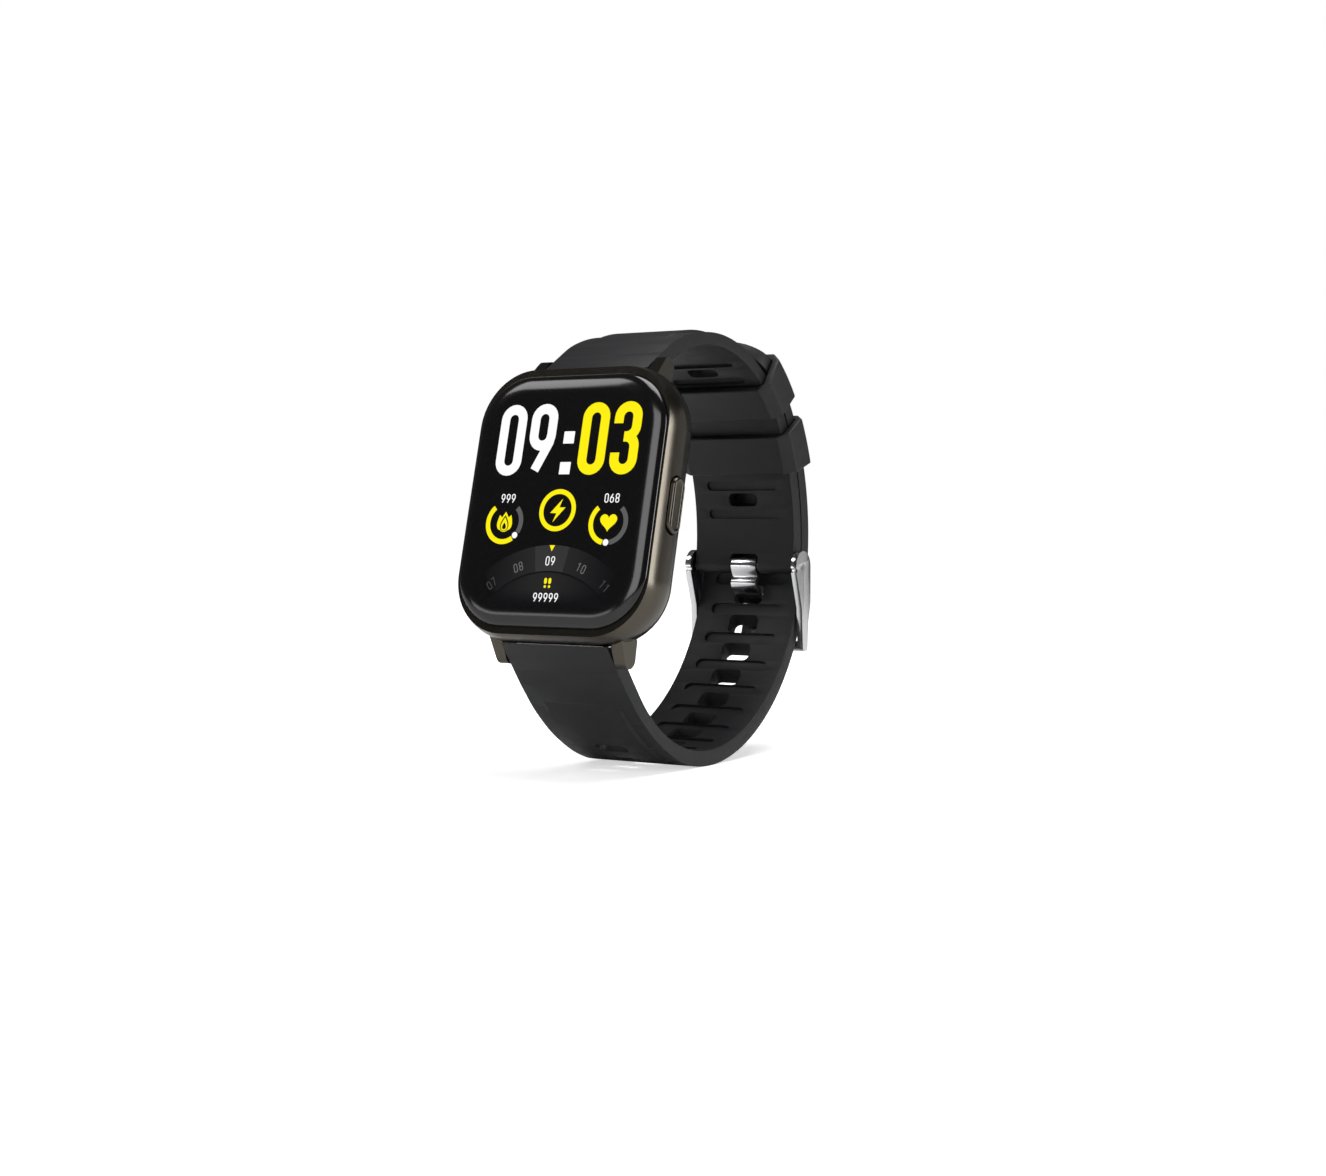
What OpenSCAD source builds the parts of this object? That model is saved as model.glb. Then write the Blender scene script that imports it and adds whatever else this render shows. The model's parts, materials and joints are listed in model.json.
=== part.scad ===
// Smartwatch standing on its closed strap, face towards -Y and leaning back, button on the +X side.
// Origin under the middle of the watch at floor level, +Z up, millimetres.

/* [Case] */
// Width of the metal case over its rounded sides
case_width = 37.2; // [36.8:0.1:37.6]
// Height of the metal case along its face
case_height = 45.0; // [44.6:0.1:45.8]
// Depth of the metal case from the glass seam to the back cover
case_depth = 8.2; // [8.0:0.1:8.4]
// Corner radius of the case at its widest
case_corner = 10.2; // [9.8:0.1:10.6]
// Angle the case leans back from upright
case_tilt = 14.4; // [12:0.2:17]

/* [Glass and screen] */
// Width of the glass recess
glass_width = 35.4; // [35.2:0.1:35.6]
// Height of the glass recess
glass_height = 41.4; // [41.2:0.1:41.8]
// Corner radius of the glass recess
glass_corner = 9.2; // [9.0:0.1:9.6]
// How far the glass stands proud of the seam
glass_rise = 1.4; // [1.2:0.1:1.6]

/* [Strap] */
// Width of both strap halves
strap_width = 20; // [19.6:0.1:20]
// Thickness of both strap halves
strap_thickness = 2.6; // [2.4:0.1:2.8]
// Space between the two strap layers where they overlap
layer_gap = 0.6; // [0.4:0.1:0.8]
// Inner radius of the arc over the top of the loop
top_radius = 28.2; // [27.8:0.1:28.6]
// Inner radius of the flatter arc above the buckle
back_radius = 35.7; // [35.2:0.1:36.2]
// Inner radius of the arc below the buckle
clasp_radius = 35.3; // [34.9:0.1:35.7]
// Inner radius of the arc the watch stands on
bottom_radius = 28.2; // [27.8:0.1:28.6]
// Distance from one size hole to the next along the strap
hole_pitch = 5.7; // [5.5:0.1:5.9]
// Number of size holes in the long strap half
hole_count = 11; // [8:1:11]

/* [Button] */
// Length of the button cap along the case side
button_length = 9.0; // [8:0.2:9.4]
// Width of the button cap
button_width = 3.2; // [2.6:0.1:3.8]
// How far the button stands proud of the case side
button_rise = 0.7; // [0.5:0.1:0.8]

/* [Hidden] */
$fn = 64;

// directions and angles of the strap loop, seen from +X, measured from +Y towards +Z
back_join = 31;
clasp_join = -10;
bottom_join = -79;
bar_angle = -9;
tip_angle = 64;
first_hole_angle = -17.2;
hole_length = 5.8;
hole_height = 3.4;
keeper_hole_height = 2.6;
keeper_hole_angles = [10, 60.4];
join_reach = 1;
join_step = 0.01;
bar_inset = 1.45;
curl_radius = bar_inset - 0.05;
step = strap_thickness + layer_gap;

function heading(a) = [cos(a), sin(a)];

// centres of the four tangent arcs, first relative to the top arc and then in place
back_shift = (top_radius - back_radius) * heading(back_join);
clasp_shift = back_shift + (back_radius + step - clasp_radius) * heading(clasp_join);
bottom_shift = clasp_shift + (clasp_radius - bottom_radius) * heading(bottom_join);
top_centre = [1.0, bottom_radius + strap_thickness - bottom_shift[1]];
back_centre = top_centre + back_shift;
clasp_centre = top_centre + clasp_shift;
bottom_centre = top_centre + bottom_shift;

// the case frame: middle of the glass seam, x across, y into the case, z up along the face
case_place = top_centre + [-30.9, 2.1];
function case_point(y, z) =
    case_place + [y * cos(case_tilt) + z * sin(case_tilt), z * cos(case_tilt) - y * sin(case_tilt)];

// lugs and the spring bars they hold
lug_bar_depth = 6.9;
lug_bar_height = 23.9;
lug_inner = 10.25;
lug_outer = 12.75;
lug_tip_radius = 1.5;
lug_hole_end = 11.9;
strap_eye_radius = 1.7;
lug_tip_width = 1.9;
top_bar = case_point(lug_bar_depth, lug_bar_height);
bottom_bar = case_point(lug_bar_depth, -lug_bar_height);

// bar at the buckle end of the short strap half
buckle_bar_place = back_centre + (back_radius + bar_inset) * heading(bar_angle);

// spring bar sizes
tube_radius = 0.75;
tube_bore = 0.48;
tube_half = 9.3;
tip_radius = 0.42;
running_gap = 0.05;
tip_end = 11.6;
pin_start = 4.8;
lever_place = 6.6;
pin_travel = 1.4;

// case profile
crest_depth = 3.4;
ring_wall = 6;
barrel_radius = 9;
recess_depth = 0.8;
cavity_width = 32.2;
cavity_height = 38.4;
cavity_corner = 7.6;

// back cover
cover_gap = 0.05;
cover_front = case_depth + cover_gap;
cover_back = 9.65;
plateau_back = 10.3;
plateau_radius = 12;
window_radius = 7.25;
window_front = 9.3;
screw_places = [[13, 16.5], [13, -16.5], [-13, 16.5], [-13, -16.5]];
contact_places = [[-2.6, -15.2], [2.6, -15.2]];
magnet_places = [[-7.2, -15.2], [7.2, -15.2]];

// button
button_depth = 3.6;
side_crest = case_width / 2;
button_face = side_crest + button_rise;
button_floor = 17.7;
button_travel = 0.45;
button_under = button_floor + button_travel + 0.05;
stem_radius = 0.8;
stem_end = 15.2;
cavity_side = cavity_width / 2;

// buckle
arm_inner = 10.35;
arm_outer = 11.45;
arm_top_radius = 2.8;
cross_bar_radius = 0.95;
cross_bar_angle = -30;
cross_bar_ring = clasp_radius + strap_thickness + 0.25 + cross_bar_radius;
cross_bar_place = clasp_centre + cross_bar_ring * heading(cross_bar_angle);
tang_half = 2.5;
tang_thickness = 0.9;

// keepers
keeper_inner_gap = 0.15;
keeper_wall = 1.3;
keeper_half = 11.6;
keeper_hollow_half = 10.2;
keeper_corner = 1.4;

// ---------- helpers ----------

// Places children drawn in the case frame.
module in_case() {
    translate([0, case_place[0], case_place[1]])
        rotate([-case_tilt, 0, 0])
            children();
}

// Thickens a shape drawn across the face (x, z) between two depths into the case.
module deep(front, back) {
    rotate([90, 0, 0])
        mirror([0, 0, 1])
            translate([0, 0, front])
                linear_extrude(back - front)
                    children();
}

// Thickens a side view (y, z) between two places along x.
module across(from, to) {
    translate([from, 0, 0])
        rotate([90, 0, 90])
            linear_extrude(to - from)
                children();
}

// A rod along x between two places, round about the side-view point given.
module rod(place, radius, from, to) {
    across(from, to)
        translate(place)
            circle(radius);
}

// Rounded rectangle in 2D, centred.
module rounded(width, height, corner) {
    square([width - 2 * corner, height], center = true);
    square([width, height - 2 * corner], center = true);
    for (x = [-1, 1], z = [-1, 1])
        translate([x * (width / 2 - corner), z * (height / 2 - corner)])
            circle(corner);
}

// Straight bar with round ends in 2D.
module capsule(length, width) {
    rounded(length, width, width / 2 - 0.001);
}

// Bar with round ends between two 2D points.
module link(start, end, width) {
    run = end - start;
    translate(start)
        rotate(atan2(run[1], run[0])) {
            translate([0, -width / 2])
                square([norm(run), width]);
            circle(width / 2);
            translate([norm(run), 0])
                circle(width / 2);
        }
}

// Sweeps a profile (x outward from the corner centre, y into the case) round a rounded rectangle.
module rim(width, height, corner) {
    half_x = width / 2 - corner;
    half_z = height / 2 - corner;
    rotate([90, 0, 0])
        mirror([0, 0, 1]) {
            for (turn = [0 : 3]) {
                across_x = (turn == 0 || turn == 3) ? half_x : -half_x;
                across_z = turn < 2 ? half_z : -half_z;
                translate([across_x, across_z, 0])
                    rotate(90 * turn)
                        rotate_extrude(angle = 90)
                            children();
            }
            for (side = [0, 180]) {
                rotate(side)
                    translate([half_x, half_z, 0])
                        rotate([90, 0, 0])
                            linear_extrude(2 * half_z)
                                children();
                rotate(side)
                    translate([-half_x, half_z, 0])
                        rotate([90, 0, 90])
                            linear_extrude(2 * half_x)
                                children();
            }
        }
}

// Wedge of the side view between two headings.
module wedge(from, to) {
    reach = 200;
    middle = (from + to) / 2;
    polygon([[0, 0], reach * heading(from), reach * heading((from + middle) / 2), reach * heading(middle),
        reach * heading((middle + to) / 2), reach * heading(to)]);
}

// Stretch of strap in the side view, part of a ring that starts at the inner radius.
module band(centre, inner, from, to) {
    translate(centre)
        intersection() {
            difference() {
                circle(inner + strap_thickness);
                circle(inner);
            }
            wedge(from, to);
        }
}

// A stretch between two bands, a hair thinner and reaching a little way inside each of them.
module joining_band(centre, inner, from, to) {
    translate(centre)
        intersection() {
            difference() {
                circle(inner + strap_thickness - join_step);
                circle(inner + join_step);
            }
            wedge(from - join_reach, to + join_reach);
        }
}

// Heading at which a line from a point touches a circle; side is 1 or -1.
function touch(point, centre, radius, side) =
    let (run = point - centre) atan2(run[1], run[0]) + side * acos(radius / norm(run));

// Side-view bar from a lug to the point where the strap's arc begins.
module lead(bar, centre, radius, angle) {
    link(bar, centre + (radius + strap_thickness / 2) * heading(angle), strap_thickness - 2 * join_step);
}

top_start = touch(top_bar, top_centre, top_radius + strap_thickness / 2, -1);
bottom_start = touch(bottom_bar, bottom_centre, bottom_radius + strap_thickness / 2, 1) + 360;

// Window through a strap, its middle at the given heading of an arc.
module strap_window(centre, radius, angle, width, height) {
    translate([0, centre[0], centre[1]])
        rotate([angle, 0, 0])
            translate([0, radius - 1, 0])
                deep(0, strap_thickness + 2)
                    rounded(width, height, 1.2);
}

// ---------- case ----------

module case_frame() {
    color([0.29, 0.27, 0.25])
        in_case() {
            difference() {
                union() {
                    case_shell();
                    screw_bosses();
                    lugs();
                }
                deep(-1, recess_depth)
                    rounded(glass_width, glass_height, glass_corner);
                for (place = screw_places)
                    translate([place[0], 0, place[1]])
                        deep(4.4, case_depth + 1)
                            circle(0.63);
                lug_holes();
                button_pocket();
            }
        }
}

// Barrel-sided ring with a straight cavity through it.
module case_shell() {
    difference() {
        rim(case_width, case_height, case_corner)
            intersection() {
                translate([case_corner - barrel_radius, crest_depth])
                    circle(barrel_radius);
                translate([case_corner - ring_wall, 0])
                    square([case_corner, case_depth]);
            }
        deep(-1, case_depth + 1)
            rounded(cavity_width, cavity_height, cavity_corner);
    }
}

module screw_bosses() {
    for (place = screw_places)
        deep(3.4, case_depth)
            translate([place[0], place[1]])
                circle(1.6);
}

module lugs() {
    for (side = [-1, 1], end = [-1, 1])
        intersection() {
            across(side > 0 ? lug_inner : -lug_outer, side > 0 ? lug_outer : -lug_inner)
                scale([1, end])
                    lug_side();
            deep(0, 2 * lug_bar_depth)
                scale([side, end])
                    lug_front();
        }
}

// Upper right lug seen from the front, in (x, height), narrowing towards its tip.
module lug_front() {
    root = case_height / 2 - 3;
    tip = lug_bar_height + lug_tip_radius;
    polygon([[lug_inner - 1, root - 1], [lug_outer, root - 1], [lug_outer, root],
        [lug_inner + lug_tip_width, tip + 0.1], [lug_inner - 1, tip + 0.1]]);
}

// Upper lug seen from the side, in (depth, height).
module lug_side() {
    tip = [lug_bar_depth, lug_bar_height];
    front = tip + lug_tip_radius * heading(142);
    rear = tip + lug_tip_radius * heading(-5);
    translate(tip)
        circle(lug_tip_radius);
    polygon([[3.2, 21.4], front, tip, rear, [7.7, 20.6], [5, 20.2]]);
}

module lug_holes() {
    for (side = [-1, 1], end = [-1, 1])
        rod([lug_bar_depth, end * lug_bar_height], tip_radius + running_gap,
            side > 0 ? lug_inner - 1 : -lug_hole_end, side > 0 ? lug_hole_end : 1 - lug_inner);
}

module button_pocket() {
    across(button_floor, side_crest + 1)
        translate([button_depth, 0])
            rotate(90)
                capsule(button_length + 0.5, button_width + 0.5);
    rod([button_depth, 0], 1.45, button_floor - 0.9, button_floor + 1);
    rod([button_depth, 0], stem_radius + running_gap, cavity_side - 1, button_floor);
}

module cover_glass() {
    width = glass_width - 0.3;
    height = glass_height - 0.3;
    corner = glass_corner - 0.15;
    edge = 2.4;
    base = 0.65;
    color([0.02, 0.02, 0.025])
        in_case()
            difference() {
                union() {
                    rim(width, height, corner)
                        intersection() {
                            translate([corner - edge, edge - glass_rise])
                                circle(edge);
                            translate([0, -glass_rise])
                                square([corner, edge]);
                        }
                    rim(width, height, corner) {
                        translate([0, -glass_rise])
                            square([corner - edge, glass_rise + base]);
                    }
                    deep(-glass_rise, base)
                        square([width - 2 * corner, height - 2 * corner], center = true);
                }
                deep(base, base + edge)
                    square([width + 1, height + 1], center = true);
                deep(-0.3, base + 1)
                    rounded(32.6, 38.6, 7.8);
            }
}

module glass_adhesive() {
    color([0.08, 0.08, 0.09])
        in_case()
            deep(0.65, recess_depth)
                difference() {
                    rounded(glass_width - 0.5, glass_height - 0.5, glass_corner - 0.25);
                    rounded(32.6, 38.6, 7.8);
                }
}

// ---------- inside the case ----------

module display_module() {
    color([0.05, 0.05, 0.07])
        in_case()
            deep(-0.3, 0.9)
                rounded(31.6, 37.4, 7.2);
}

module display_flex() {
    color([0.75, 0.45, 0.12])
        in_case() {
            deep(0.9, 3.95)
                translate([-4, -18.55])
                    square([8, 0.15]);
            deep(3.8, 3.95)
                translate([-4, -18.55])
                    square([8, 3]);
        }
}

module inner_chassis() {
    color([0.2, 0.2, 0.21])
        in_case()
            deep(2.2, 3.0)
                difference() {
                    rounded(31.0, 37.6, 7.2);
                    translate([0, -18.35])
                        square([9, 0.9], center = true);
                    translate([14.9, 0])
                        square([4, 5.2], center = true);
                }
}

module main_board() {
    color([0.05, 0.28, 0.14])
        in_case()
            deep(3.0, 3.8)
                translate([-11, -17.5])
                    square([22, 15]);
}

module board_chips() {
    color([0.06, 0.06, 0.06])
        in_case() {
            deep(3.8, 4.7) {
                translate([-8.5, -12.5])
                    square([5, 5]);
                translate([-2.8, -12.5])
                    square([3.6, 4.2]);
            }
            deep(3.8, 4.4)
                translate([4.6, -17])
                    square([4, 3.2]);
        }
}

module shield_can() {
    color([0.75, 0.76, 0.78])
        in_case()
            difference() {
                deep(3.8, 5.4)
                    translate([-10, -14.6])
                        square([12, 10.4]);
                deep(3.7, 5.2)
                    translate([-9.8, -14.4])
                        square([11.6, 10]);
            }
}

module battery() {
    color([0.55, 0.57, 0.6])
        in_case()
            deep(3.0, 6.8)
                rounded_at([0, 8.5], 22, 16, 1);
}

// Rounded rectangle with its middle at a point.
module rounded_at(place, width, height, corner) {
    translate(place)
        rounded(width, height, corner);
}

module vibration_motor() {
    color([0.7, 0.71, 0.72])
        in_case()
            translate([6.9, 0, -9])
                deep(3.8, 6.4)
                    circle(3.9);
}

module antenna_flex() {
    color([0.72, 0.45, 0.15])
        in_case()
            deep(3.4, 6.8)
                translate([-8, 18.6])
                    square([16, 0.2]);
}

// ---------- back of the case ----------

module back_cover() {
    edge = 3;
    width = 34.0;
    height = 41.8;
    corner = case_corner - 1.6;
    color([0.07, 0.07, 0.075])
        in_case()
            difference() {
                union() {
                    rim(width, height, corner)
                        intersection() {
                            translate([corner - edge, cover_back - edge])
                                circle(edge);
                            translate([0, cover_front])
                                square([corner, cover_back - cover_front]);
                        }
                    rim(width, height, corner)
                        translate([0, cover_front])
                            square([corner - edge, cover_back - cover_front]);
                    deep(cover_front, cover_back)
                        square([width - 2 * corner, height - 2 * corner], center = true);
                    deep(cover_back, plateau_back)
                        circle(plateau_radius);
                }
                deep(cover_front - 1, window_front + 0.01)
                    circle(6);
                deep(window_front, plateau_back + 1)
                    circle(window_radius + 0.05);
                cover_holes();
            }
}

module cover_holes() {
    for (place = screw_places) {
        deep(cover_front - 1, cover_back + 1)
            translate([place[0], place[1]])
                circle(0.75);
        deep(cover_back - 0.75, cover_back + 1)
            translate([place[0], place[1]])
                circle(1.3);
    }
    for (place = contact_places)
        deep(cover_front - 1, cover_back + 1)
            translate([place[0], place[1]])
                circle(1.05);
    for (place = magnet_places)
        deep(cover_front - 1, cover_back - 0.5)
            translate([place[0], place[1]])
                circle(1.85);
}

module back_cover_seal() {
    color([0.5, 0.12, 0.1])
        in_case()
            deep(case_depth - 1, case_depth)
                difference() {
                    rounded(cavity_width - 0.1, cavity_height - 0.1, cavity_corner - 0.05);
                    rounded(cavity_width - 1.1, cavity_height - 1.1, cavity_corner - 0.55);
                    for (place = screw_places)
                        translate([place[0], place[1]])
                            circle(1.65);
                }
}

module back_cover_screws() {
    color([0.62, 0.62, 0.64])
        in_case()
            for (place = screw_places)
                translate([place[0], 0, place[1]]) {
                    deep(5, cover_back - 0.7)
                        circle(0.6);
                    difference() {
                        deep(cover_back - 0.75, cover_back - 0.05)
                            circle(1.2);
                        deep(cover_back - 0.4, cover_back) {
                            square([1.5, 0.3], center = true);
                            square([0.3, 1.5], center = true);
                        }
                    }
                }
}

module sensor_window() {
    color([0.1, 0.1, 0.12])
        in_case()
            deep(window_front, plateau_back + 0.1)
                circle(window_radius);
}

module sensor_board() {
    color([0.05, 0.28, 0.14])
        in_case()
            deep(7.2, 7.8)
                circle(7.5);
}

module sensor_parts() {
    color([0.35, 0.75, 0.4])
        in_case()
            deep(7.8, 8.6)
                for (x = [-3.4, 0, 3.4])
                    translate([x, 0])
                        square([2, 2.6], center = true);
}

module charge_contacts() {
    color([0.85, 0.68, 0.3])
        in_case()
            for (place = contact_places)
                translate([place[0], 0, place[1]]) {
                    deep(cover_front, cover_back + 0.05)
                        circle(1);
                    deep(7.4, cover_front)
                        circle(0.5);
                }
}

module charge_magnets() {
    color([0.65, 0.65, 0.66])
        in_case()
            for (place = magnet_places)
                translate([place[0], 0, place[1]])
                    deep(8.0, cover_back - 0.5)
                        circle(1.8);
}

// ---------- button ----------

module button_cap() {
    color([0.29, 0.27, 0.25])
        in_case() {
            across(button_under, button_face)
                translate([button_depth, 0])
                    rotate(90)
                        capsule(button_length, button_width);
            rod([button_depth, 0], stem_radius, stem_end, button_under);
        }
}

module button_clip() {
    color([0.6, 0.6, 0.62])
        in_case()
            across(15.65, 16.05)
                translate([button_depth, 0])
                    difference() {
                        circle(1.5);
                        circle(stem_radius);
                    }
}

module button_seal() {
    color([0.1, 0.1, 0.1])
        in_case()
            across(button_floor - 0.85, button_floor - 0.2)
                translate([button_depth, 0])
                    difference() {
                        circle(1.4);
                        circle(stem_radius + 0.03);
                    }
}

module button_switch() {
    color([0.75, 0.75, 0.72])
        in_case() {
            across(13.2, 14.3)
                translate([2.6, -1.7])
                    square([2, 3.4]);
            rod([button_depth, 0], 0.7, 14.3, 14.7);
        }
}

module button_flex() {
    color([0.75, 0.45, 0.12])
        in_case()
            across(13.05, 13.2)
                translate([3.1, -4.5])
                    square([3, 9]);
}

// ---------- strap halves ----------

module top_strap() {
    color([0.13, 0.13, 0.14])
        difference() {
            across(-strap_width / 2, strap_width / 2) {
                translate(top_bar)
                    circle(strap_eye_radius);
                lead(top_bar, top_centre, top_radius, top_start);
                band(top_centre, top_radius, back_join, top_start);
                joining_band(back_centre, back_radius, bar_angle + join_reach, back_join);
                translate(buckle_bar_place)
                    circle(curl_radius);
            }
            rod(top_bar, tube_radius + running_gap, -strap_width, strap_width);
            rod(buckle_bar_place, tube_radius + running_gap, -strap_width, strap_width);
            lever_slot(top_bar, top_start - 90);
            tang_slot();
            strap_window(back_centre, back_radius, keeper_hole_angles[0], hole_length, keeper_hole_height);
            strap_window(top_centre, top_radius, keeper_hole_angles[1], hole_length, keeper_hole_height);
        }
}

// Slot for the quick-release lever, open to the wrist side of the strap.
module lever_slot(bar, angle) {
    translate([0, bar[0], bar[1]])
        rotate([angle, 0, 0])
            translate([lever_place - pin_travel - 0.8, -0.7, -3])
                cube([pin_travel + 1.6, 1.4, 3]);
}

// Opening for the tang at the end of the short strap half.
module tang_slot() {
    translate([0, buckle_bar_place[0], buckle_bar_place[1]])
        rotate([bar_angle, 0, 0])
            translate([-tang_half - 0.25, -3, -3])
                cube([2 * tang_half + 0.5, 6, 5.2]);
}

// Long strap half: from its lug under the loop, through the buckle and outside the short half.
module bottom_strap() {
    color([0.13, 0.13, 0.14])
        difference() {
            across(-strap_width / 2, strap_width / 2) {
                translate(bottom_bar)
                    circle(strap_eye_radius);
                lead(bottom_bar, bottom_centre, bottom_radius, bottom_start);
                band(bottom_centre, bottom_radius, bottom_start, bottom_join + 360);
                joining_band(clasp_centre, clasp_radius, bottom_join, clasp_join);
                band(back_centre, back_radius + step, clasp_join, back_join);
                joining_band(top_centre, top_radius + step, back_join, tip_angle - join_reach);
            }
            rod(bottom_bar, tube_radius + running_gap, -strap_width, strap_width);
            lever_slot(bottom_bar, bottom_start - 90);
            size_holes();
        }
}

// Headings of the size holes: some on the clasp arc, the rest where the strap turns onto the bottom arc.
module size_holes() {
    clasp_step = hole_pitch / clasp_radius * 180 / PI;
    bottom_step = hole_pitch / bottom_radius * 180 / PI;
    clasp_holes = floor((first_hole_angle - bottom_join) / clasp_step) + 1;
    carry = hole_pitch - (first_hole_angle - bottom_join - (clasp_holes - 1) * clasp_step)
        * clasp_radius * PI / 180;
    for (i = [0 : min(clasp_holes, hole_count) - 1])
        strap_window(clasp_centre, clasp_radius, first_hole_angle - i * clasp_step, hole_length, hole_height);
    for (i = [0 : hole_count - clasp_holes - 1])
        strap_window(bottom_centre, bottom_radius,
            bottom_join - carry / bottom_radius * 180 / PI - i * bottom_step, hole_length, hole_height);
}

// ---------- spring bars ----------

module bar_tube(bar, angle) {
    difference() {
        union() {
            rod(bar, tube_radius, -tube_half, tube_half);
            rod(bar, tip_radius, -tip_end, -tube_half);
        }
        rod(bar, tube_bore, -2, strap_width);
        lever_slot(bar, angle);
    }
}

module bar_pin(bar, angle) {
    rod(bar, tip_radius, pin_start, tip_end);
    translate([0, bar[0], bar[1]])
        rotate([angle, 0, 0])
            translate([lever_place, 0, -2.6])
                cylinder(h = 2.6, r = 0.5);
}

module bar_spring(bar) {
    rod(bar, tip_radius - 0.06, -2, pin_start);
}

module top_bar_tube() {
    color([0.7, 0.71, 0.72])
        bar_tube(top_bar, top_start - 90);
}

module top_bar_pin() {
    color([0.7, 0.71, 0.72])
        bar_pin(top_bar, top_start - 90);
}

module top_bar_spring() {
    color([0.6, 0.6, 0.62])
        bar_spring(top_bar);
}

module bottom_bar_tube() {
    color([0.7, 0.71, 0.72])
        bar_tube(bottom_bar, bottom_start - 90);
}

module bottom_bar_pin() {
    color([0.7, 0.71, 0.72])
        bar_pin(bottom_bar, bottom_start - 90);
}

module bottom_bar_spring() {
    color([0.6, 0.6, 0.62])
        bar_spring(bottom_bar);
}

// ---------- buckle ----------

module buckle_bar() {
    color([0.72, 0.73, 0.75])
        union() {
            rod(buckle_bar_place, tube_radius, -strap_width / 2, strap_width / 2);
            rod(buckle_bar_place, 0.45, -arm_outer, arm_outer);
        }
}

// Side view of a buckle arm: round at the bar, tapering to the cross bar.
module arm_side() {
    bar = buckle_bar_place;
    cross = cross_bar_place;
    translate(bar)
        circle(arm_top_radius);
    polygon([bar + [-arm_top_radius, 0], bar + [0, 0.5], bar + [arm_top_radius, 0],
        bar + [arm_top_radius, -6.6], bar + [1.6, -10.4], cross + [cross_bar_radius, 0.3],
        cross + [-cross_bar_radius, 0.1], bar + [0.6, -7.2]]);
    translate(cross)
        circle(cross_bar_radius);
}

module buckle_frame() {
    color([0.78, 0.79, 0.81])
        difference() {
            union() {
                for (side = [-1, 1])
                    across(side > 0 ? arm_inner : -arm_outer, side > 0 ? arm_outer : -arm_inner)
                        arm_side();
                rod(cross_bar_place, cross_bar_radius, -arm_outer, arm_outer);
            }
            rod(buckle_bar_place, 0.48, -strap_width, strap_width);
        }
}

module buckle_tang() {
    entry = clasp_centre + (clasp_radius - 0.75) * heading(-15.4);
    leave = clasp_centre + (clasp_radius + strap_thickness + 1.4) * heading(-19.6);
    tip = clasp_centre + (cross_bar_ring + cross_bar_radius + 0.35 + tang_thickness / 2)
        * heading(cross_bar_angle - 1.5);
    color([0.78, 0.79, 0.81])
        across(-tang_half, tang_half)
            difference() {
                union() {
                    translate(buckle_bar_place)
                        circle(curl_radius);
                    link(buckle_bar_place, entry, tang_thickness);
                    link(entry, leave, tang_thickness);
                    link(leave, tip, tang_thickness);
                }
                translate(buckle_bar_place)
                    circle(tube_radius + 0.07);
            }
}

// ---------- keepers ----------

// A loop that follows an arc of the strap, from one heading to another.
module keeper(centre, radius, from, to) {
    inner = radius - keeper_inner_gap;
    outer = radius + step + strap_thickness + keeper_inner_gap;
    translate([0, centre[0], centre[1]])
        rotate([from, 0, 0])
            rotate([90, 0, 90])
                rotate_extrude(angle = to - from)
                    difference() {
                        translate([(inner + outer) / 2, 0])
                            rounded(outer - inner + 2 * keeper_wall, 2 * keeper_half, keeper_corner);
                        translate([(inner + outer) / 2, 0])
                            square([outer - inner, 2 * keeper_hollow_half], center = true);
                    }
}

module keeper_upper() {
    color([0.13, 0.13, 0.14])
        keeper(top_centre, top_radius, 37.5, 52.5);
}

module keeper_lower() {
    color([0.13, 0.13, 0.14])
        keeper(back_centre, back_radius, 18, 30);
}

case_frame();
cover_glass();
glass_adhesive();
display_module();
display_flex();
inner_chassis();
main_board();
board_chips();
shield_can();
battery();
vibration_motor();
antenna_flex();
back_cover();
back_cover_seal();
back_cover_screws();
sensor_window();
sensor_board();
sensor_parts();
charge_contacts();
charge_magnets();
button_cap();
button_clip();
button_seal();
button_switch();
button_flex();
top_strap();
bottom_strap();
top_bar_tube();
top_bar_pin();
top_bar_spring();
bottom_bar_tube();
bottom_bar_pin();
bottom_bar_spring();
buckle_frame();
buckle_bar();
buckle_tang();
keeper_upper();
keeper_lower();
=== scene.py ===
"""Looks of a smartwatch that stands on its closed silicone strap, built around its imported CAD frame."""
import json
from math import acos, atan2, cos, degrees, pi, radians, sin

import bmesh
import bpy
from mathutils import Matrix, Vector


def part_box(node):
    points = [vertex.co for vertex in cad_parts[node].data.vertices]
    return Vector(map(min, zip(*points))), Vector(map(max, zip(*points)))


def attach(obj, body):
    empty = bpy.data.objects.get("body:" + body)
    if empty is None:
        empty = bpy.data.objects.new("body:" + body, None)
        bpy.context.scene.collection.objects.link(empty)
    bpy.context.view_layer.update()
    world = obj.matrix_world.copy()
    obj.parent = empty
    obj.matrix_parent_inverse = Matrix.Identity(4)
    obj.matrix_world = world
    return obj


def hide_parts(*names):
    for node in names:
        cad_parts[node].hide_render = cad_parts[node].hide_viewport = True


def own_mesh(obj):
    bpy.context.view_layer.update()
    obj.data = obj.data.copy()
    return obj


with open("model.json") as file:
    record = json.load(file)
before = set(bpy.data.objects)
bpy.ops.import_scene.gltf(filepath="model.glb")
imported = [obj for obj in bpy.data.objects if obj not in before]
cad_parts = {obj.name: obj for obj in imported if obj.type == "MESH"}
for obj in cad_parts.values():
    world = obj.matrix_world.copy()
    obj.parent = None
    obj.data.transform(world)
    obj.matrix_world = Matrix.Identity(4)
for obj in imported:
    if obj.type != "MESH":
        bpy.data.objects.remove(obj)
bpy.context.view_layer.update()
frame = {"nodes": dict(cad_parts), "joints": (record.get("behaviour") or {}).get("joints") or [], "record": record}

record = frame["record"]
MM = 0.001

# ---------- where things are, from the frame ----------

joints = {joint["name"]: joint for joint in frame["joints"]}
mounts = {mount["name"]: mount for mount in record["mounts"]}


def side(place):
    """The side view (y, z) of a place in the row frame."""
    return Vector((place[1], place[2]))


def middle(node):
    low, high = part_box(node)
    return (low + high) / 2


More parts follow.
